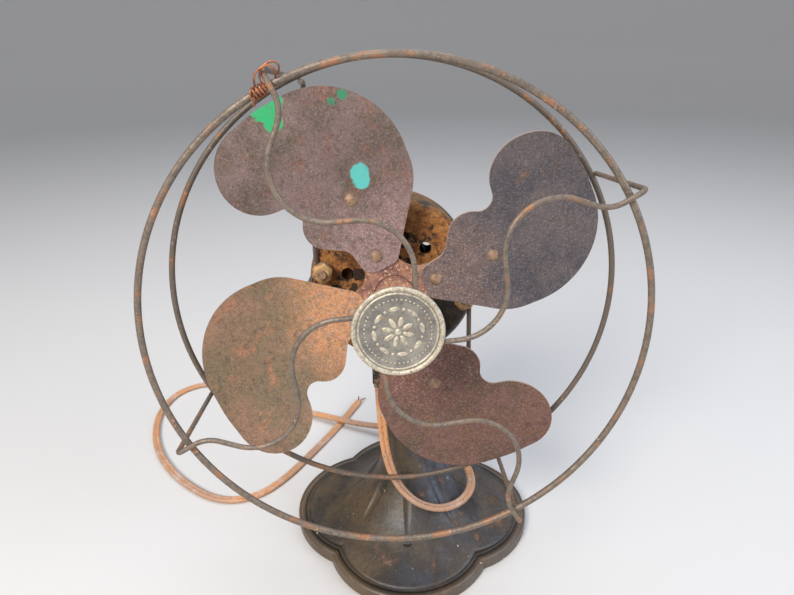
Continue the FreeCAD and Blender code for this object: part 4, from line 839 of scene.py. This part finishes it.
class DESKFAN_OT_binding(bpy.types.Operator):
    """Adds the twisted tails to the copper wire that holds the slipped spoke"""
    bl_idname = "desk_fan.binding"
    bl_label = "Binding wire"

    def execute(self, context):
        guard = context.scene.desk_fan_guard
        finish = stained_finish("copper", tone(0.52, 0.21, 0.10), tone(0.25, 0.09, 0.045), 3 * MM, 0.75, 0.35)
        dress(finish, "tie_wire", "cord_conductors")
        loops = {
            "binding_tail_upper": [(103.0, 116.2, 43.6), (104.4, 116.0, 44.6), (106.8, 115.2, 45.6),
                                   (108.4, 113.6, 45.4), (108.0, 111.8, 44.8), (105.6, 111.4, 43.6),
                                   (104.0, 112.4, 42.4)],
            "binding_tail_lower": [(103.8, 117.4, 43.2), (105.0, 117.2, 44.4), (107.0, 116.2, 46.4),
                                   (107.8, 114.2, 46.8), (107.0, 112.6, 46.0), (104.6, 112.4, 44.6),
                                   (103.2, 113.2, 42.6)],
            "binding_tail_end": [(103.8, 117.8, 42.4), (103.6, 118.4, 43.4), (102.2, 119.2, 43.8),
                                 (100.0, 119.4, 43.0), (98.4, 119.8, 42.0)],
        }
        for label, places in loops.items():
            points = [in_head(*place) for place in places]
            bent_wire(label, points, guard.binding_wire, finish, "head")
        return {"FINISHED"}


# The cord's route in metres, from inside the strain relief to the bared end.
CORD_ROUTE = [
    (-0.0170, -0.0089, 0.1169),
    (-0.0170, -0.0108, 0.0975),
    (-0.0162, -0.0164, 0.0786),
    (-0.0146, -0.0226, 0.0620),
    (-0.0096, -0.0284, 0.0474),
    (0.0004, -0.0320, 0.0364),
    (0.0132, -0.0308, 0.0296),
    (0.0254, -0.0242, 0.0264),
    (0.0344, -0.0129, 0.0252),
    (0.0374, 0.0012, 0.0246),
    (0.0349, 0.0160, 0.0238),
    (0.0280, 0.0308, 0.0216),
    (0.0200, 0.0454, 0.0170),
    (0.0106, 0.0602, 0.0128),
    (-0.0034, 0.0728, 0.0102),
    (-0.0200, 0.0810, 0.0068),
    (-0.0380, 0.0886, 0.0049),
    (-0.0580, 0.0984, 0.0048),
    (-0.0805, 0.1108, 0.0026),
    (-0.1050, 0.1260, 0.0016),
    (-0.1340, 0.1465, 0.0016),
    (-0.1640, 0.1610, 0.0016),
    (-0.1880, 0.1480, 0.0016),
    (-0.1946, 0.1200, 0.0016),
    (-0.1890, 0.0900, 0.0016),
    (-0.1760, 0.0620, 0.0016),
    (-0.1540, 0.0350, 0.0016),
    (-0.1240, 0.0135, 0.0016),
    (-0.1000, 0.0155, 0.0016),
    (-0.0840, 0.0310, 0.0016),
    (-0.0685, 0.0570, 0.0016),
    (-0.0495, 0.0915, 0.0016),
    (-0.0360, 0.1220, 0.0023),
]


# Steps round the outside of each strand.
STRAND_STEPS = 8


def twin_section(width, thickness):
    """The outline of two strands side by side, as a closed curve."""
    radius = thickness / 2
    offset = width / 2 - radius
    line = bpy.data.curves.new("twin_section", "CURVE")
    line.dimensions = "2D"
    waist = math.acos(min(1.0, offset / radius))
    sweep = math.pi - waist
    points = []
    for side in (0.0, math.pi):
        for step in range(STRAND_STEPS + 1):
            angle = side - sweep + 2 * sweep * step / STRAND_STEPS
            points.append((offset * math.cos(side) + radius * math.cos(angle), radius * math.sin(angle)))
    spline = line.splines.new("POLY")
    spline.points.add(len(points) - 1)
    for place, (across, up) in zip(spline.points, points):
        place.co = (across, up, 0.0, 1.0)
    spline.use_cyclic_u = True
    made = bpy.data.objects.new("twin_section", line)
    bpy.context.scene.collection.objects.link(made)
    return made


class DESKFAN_OT_cord(bpy.types.Operator):
    """Lays the flat twin cord from the strain relief round the column and over the table"""
    bl_idname = "desk_fan.cord"
    bl_label = "Cord"

    def execute(self, context):
        cord = context.scene.desk_fan_cord
        points = [Vector(place) for place in CORD_ROUTE]
        curve = nurbs("cord_line", points)
        path = [corner.co.copy() for corner in as_mesh(curve).vertices]
        section = twin_section(cord.width, cord.thickness)
        curve.data.twist_mode = "Z_UP"
        curve.data.bevel_mode = "OBJECT"
        curve.data.bevel_object = section
        curve.data.use_fill_caps = True
        mesh = as_mesh(curve)
        bpy.data.objects.remove(curve)
        bpy.data.objects.remove(section)
        bm = bmesh.new()
        bm.from_mesh(mesh)
        shown = add_piece("twin_cord", bm, cord_finish(), "stand", Matrix.Identity(4))
        shown.parent = None
        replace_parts(shown, "cord")
        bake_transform(shown)
        return {"FINISHED"}


class DESKFAN_PT_panel(bpy.types.Panel):
    """Lists the fan's pieces"""
    bl_idname = "DESKFAN_PT_panel"
    bl_label = "Desk Fan"
    bl_space_type = "VIEW_3D"
    bl_region_type = "UI"
    bl_category = "Desk Fan"

    def draw(self, context):
        for operator in OPERATORS:
            self.layout.operator(operator.bl_idname)
        for group in GROUPS:
            held = getattr(context.scene, group)
            for name in held.__annotations__:
                self.layout.prop(held, name)


OPERATORS = (
    DESKFAN_OT_stage,
    DESKFAN_OT_cord,
    DESKFAN_OT_stand,
    DESKFAN_OT_motor,
    DESKFAN_OT_fasteners,
    DESKFAN_OT_blades,
    DESKFAN_OT_guard,
    DESKFAN_OT_badge,
    DESKFAN_OT_binding,
)
GROUPS = {
    "desk_fan_guard": GuardSettings,
    "desk_fan_cord": CordSettings,
    "desk_fan_blades": BladeSettings,
    "desk_fan_stage": StageSettings,
}


def register():
    for group, kind in GROUPS.items():
        bpy.utils.register_class(kind)
        setattr(bpy.types.Scene, group, PointerProperty(type=kind))
    for operator in OPERATORS:
        bpy.utils.register_class(operator)
    bpy.utils.register_class(DESKFAN_PT_panel)


def unregister():
    bpy.utils.unregister_class(DESKFAN_PT_panel)
    for operator in reversed(OPERATORS):
        bpy.utils.unregister_class(operator)
    for group, kind in GROUPS.items():
        delattr(bpy.types.Scene, group)
        bpy.utils.unregister_class(kind)


def main():
    """Makes the whole fan."""
    register()
    for operator in OPERATORS:
        group, name = operator.bl_idname.split(".")
        getattr(getattr(bpy.ops, group), name)()
    bpy.context.view_layer.update()


if __name__ == "__main__":
    main()
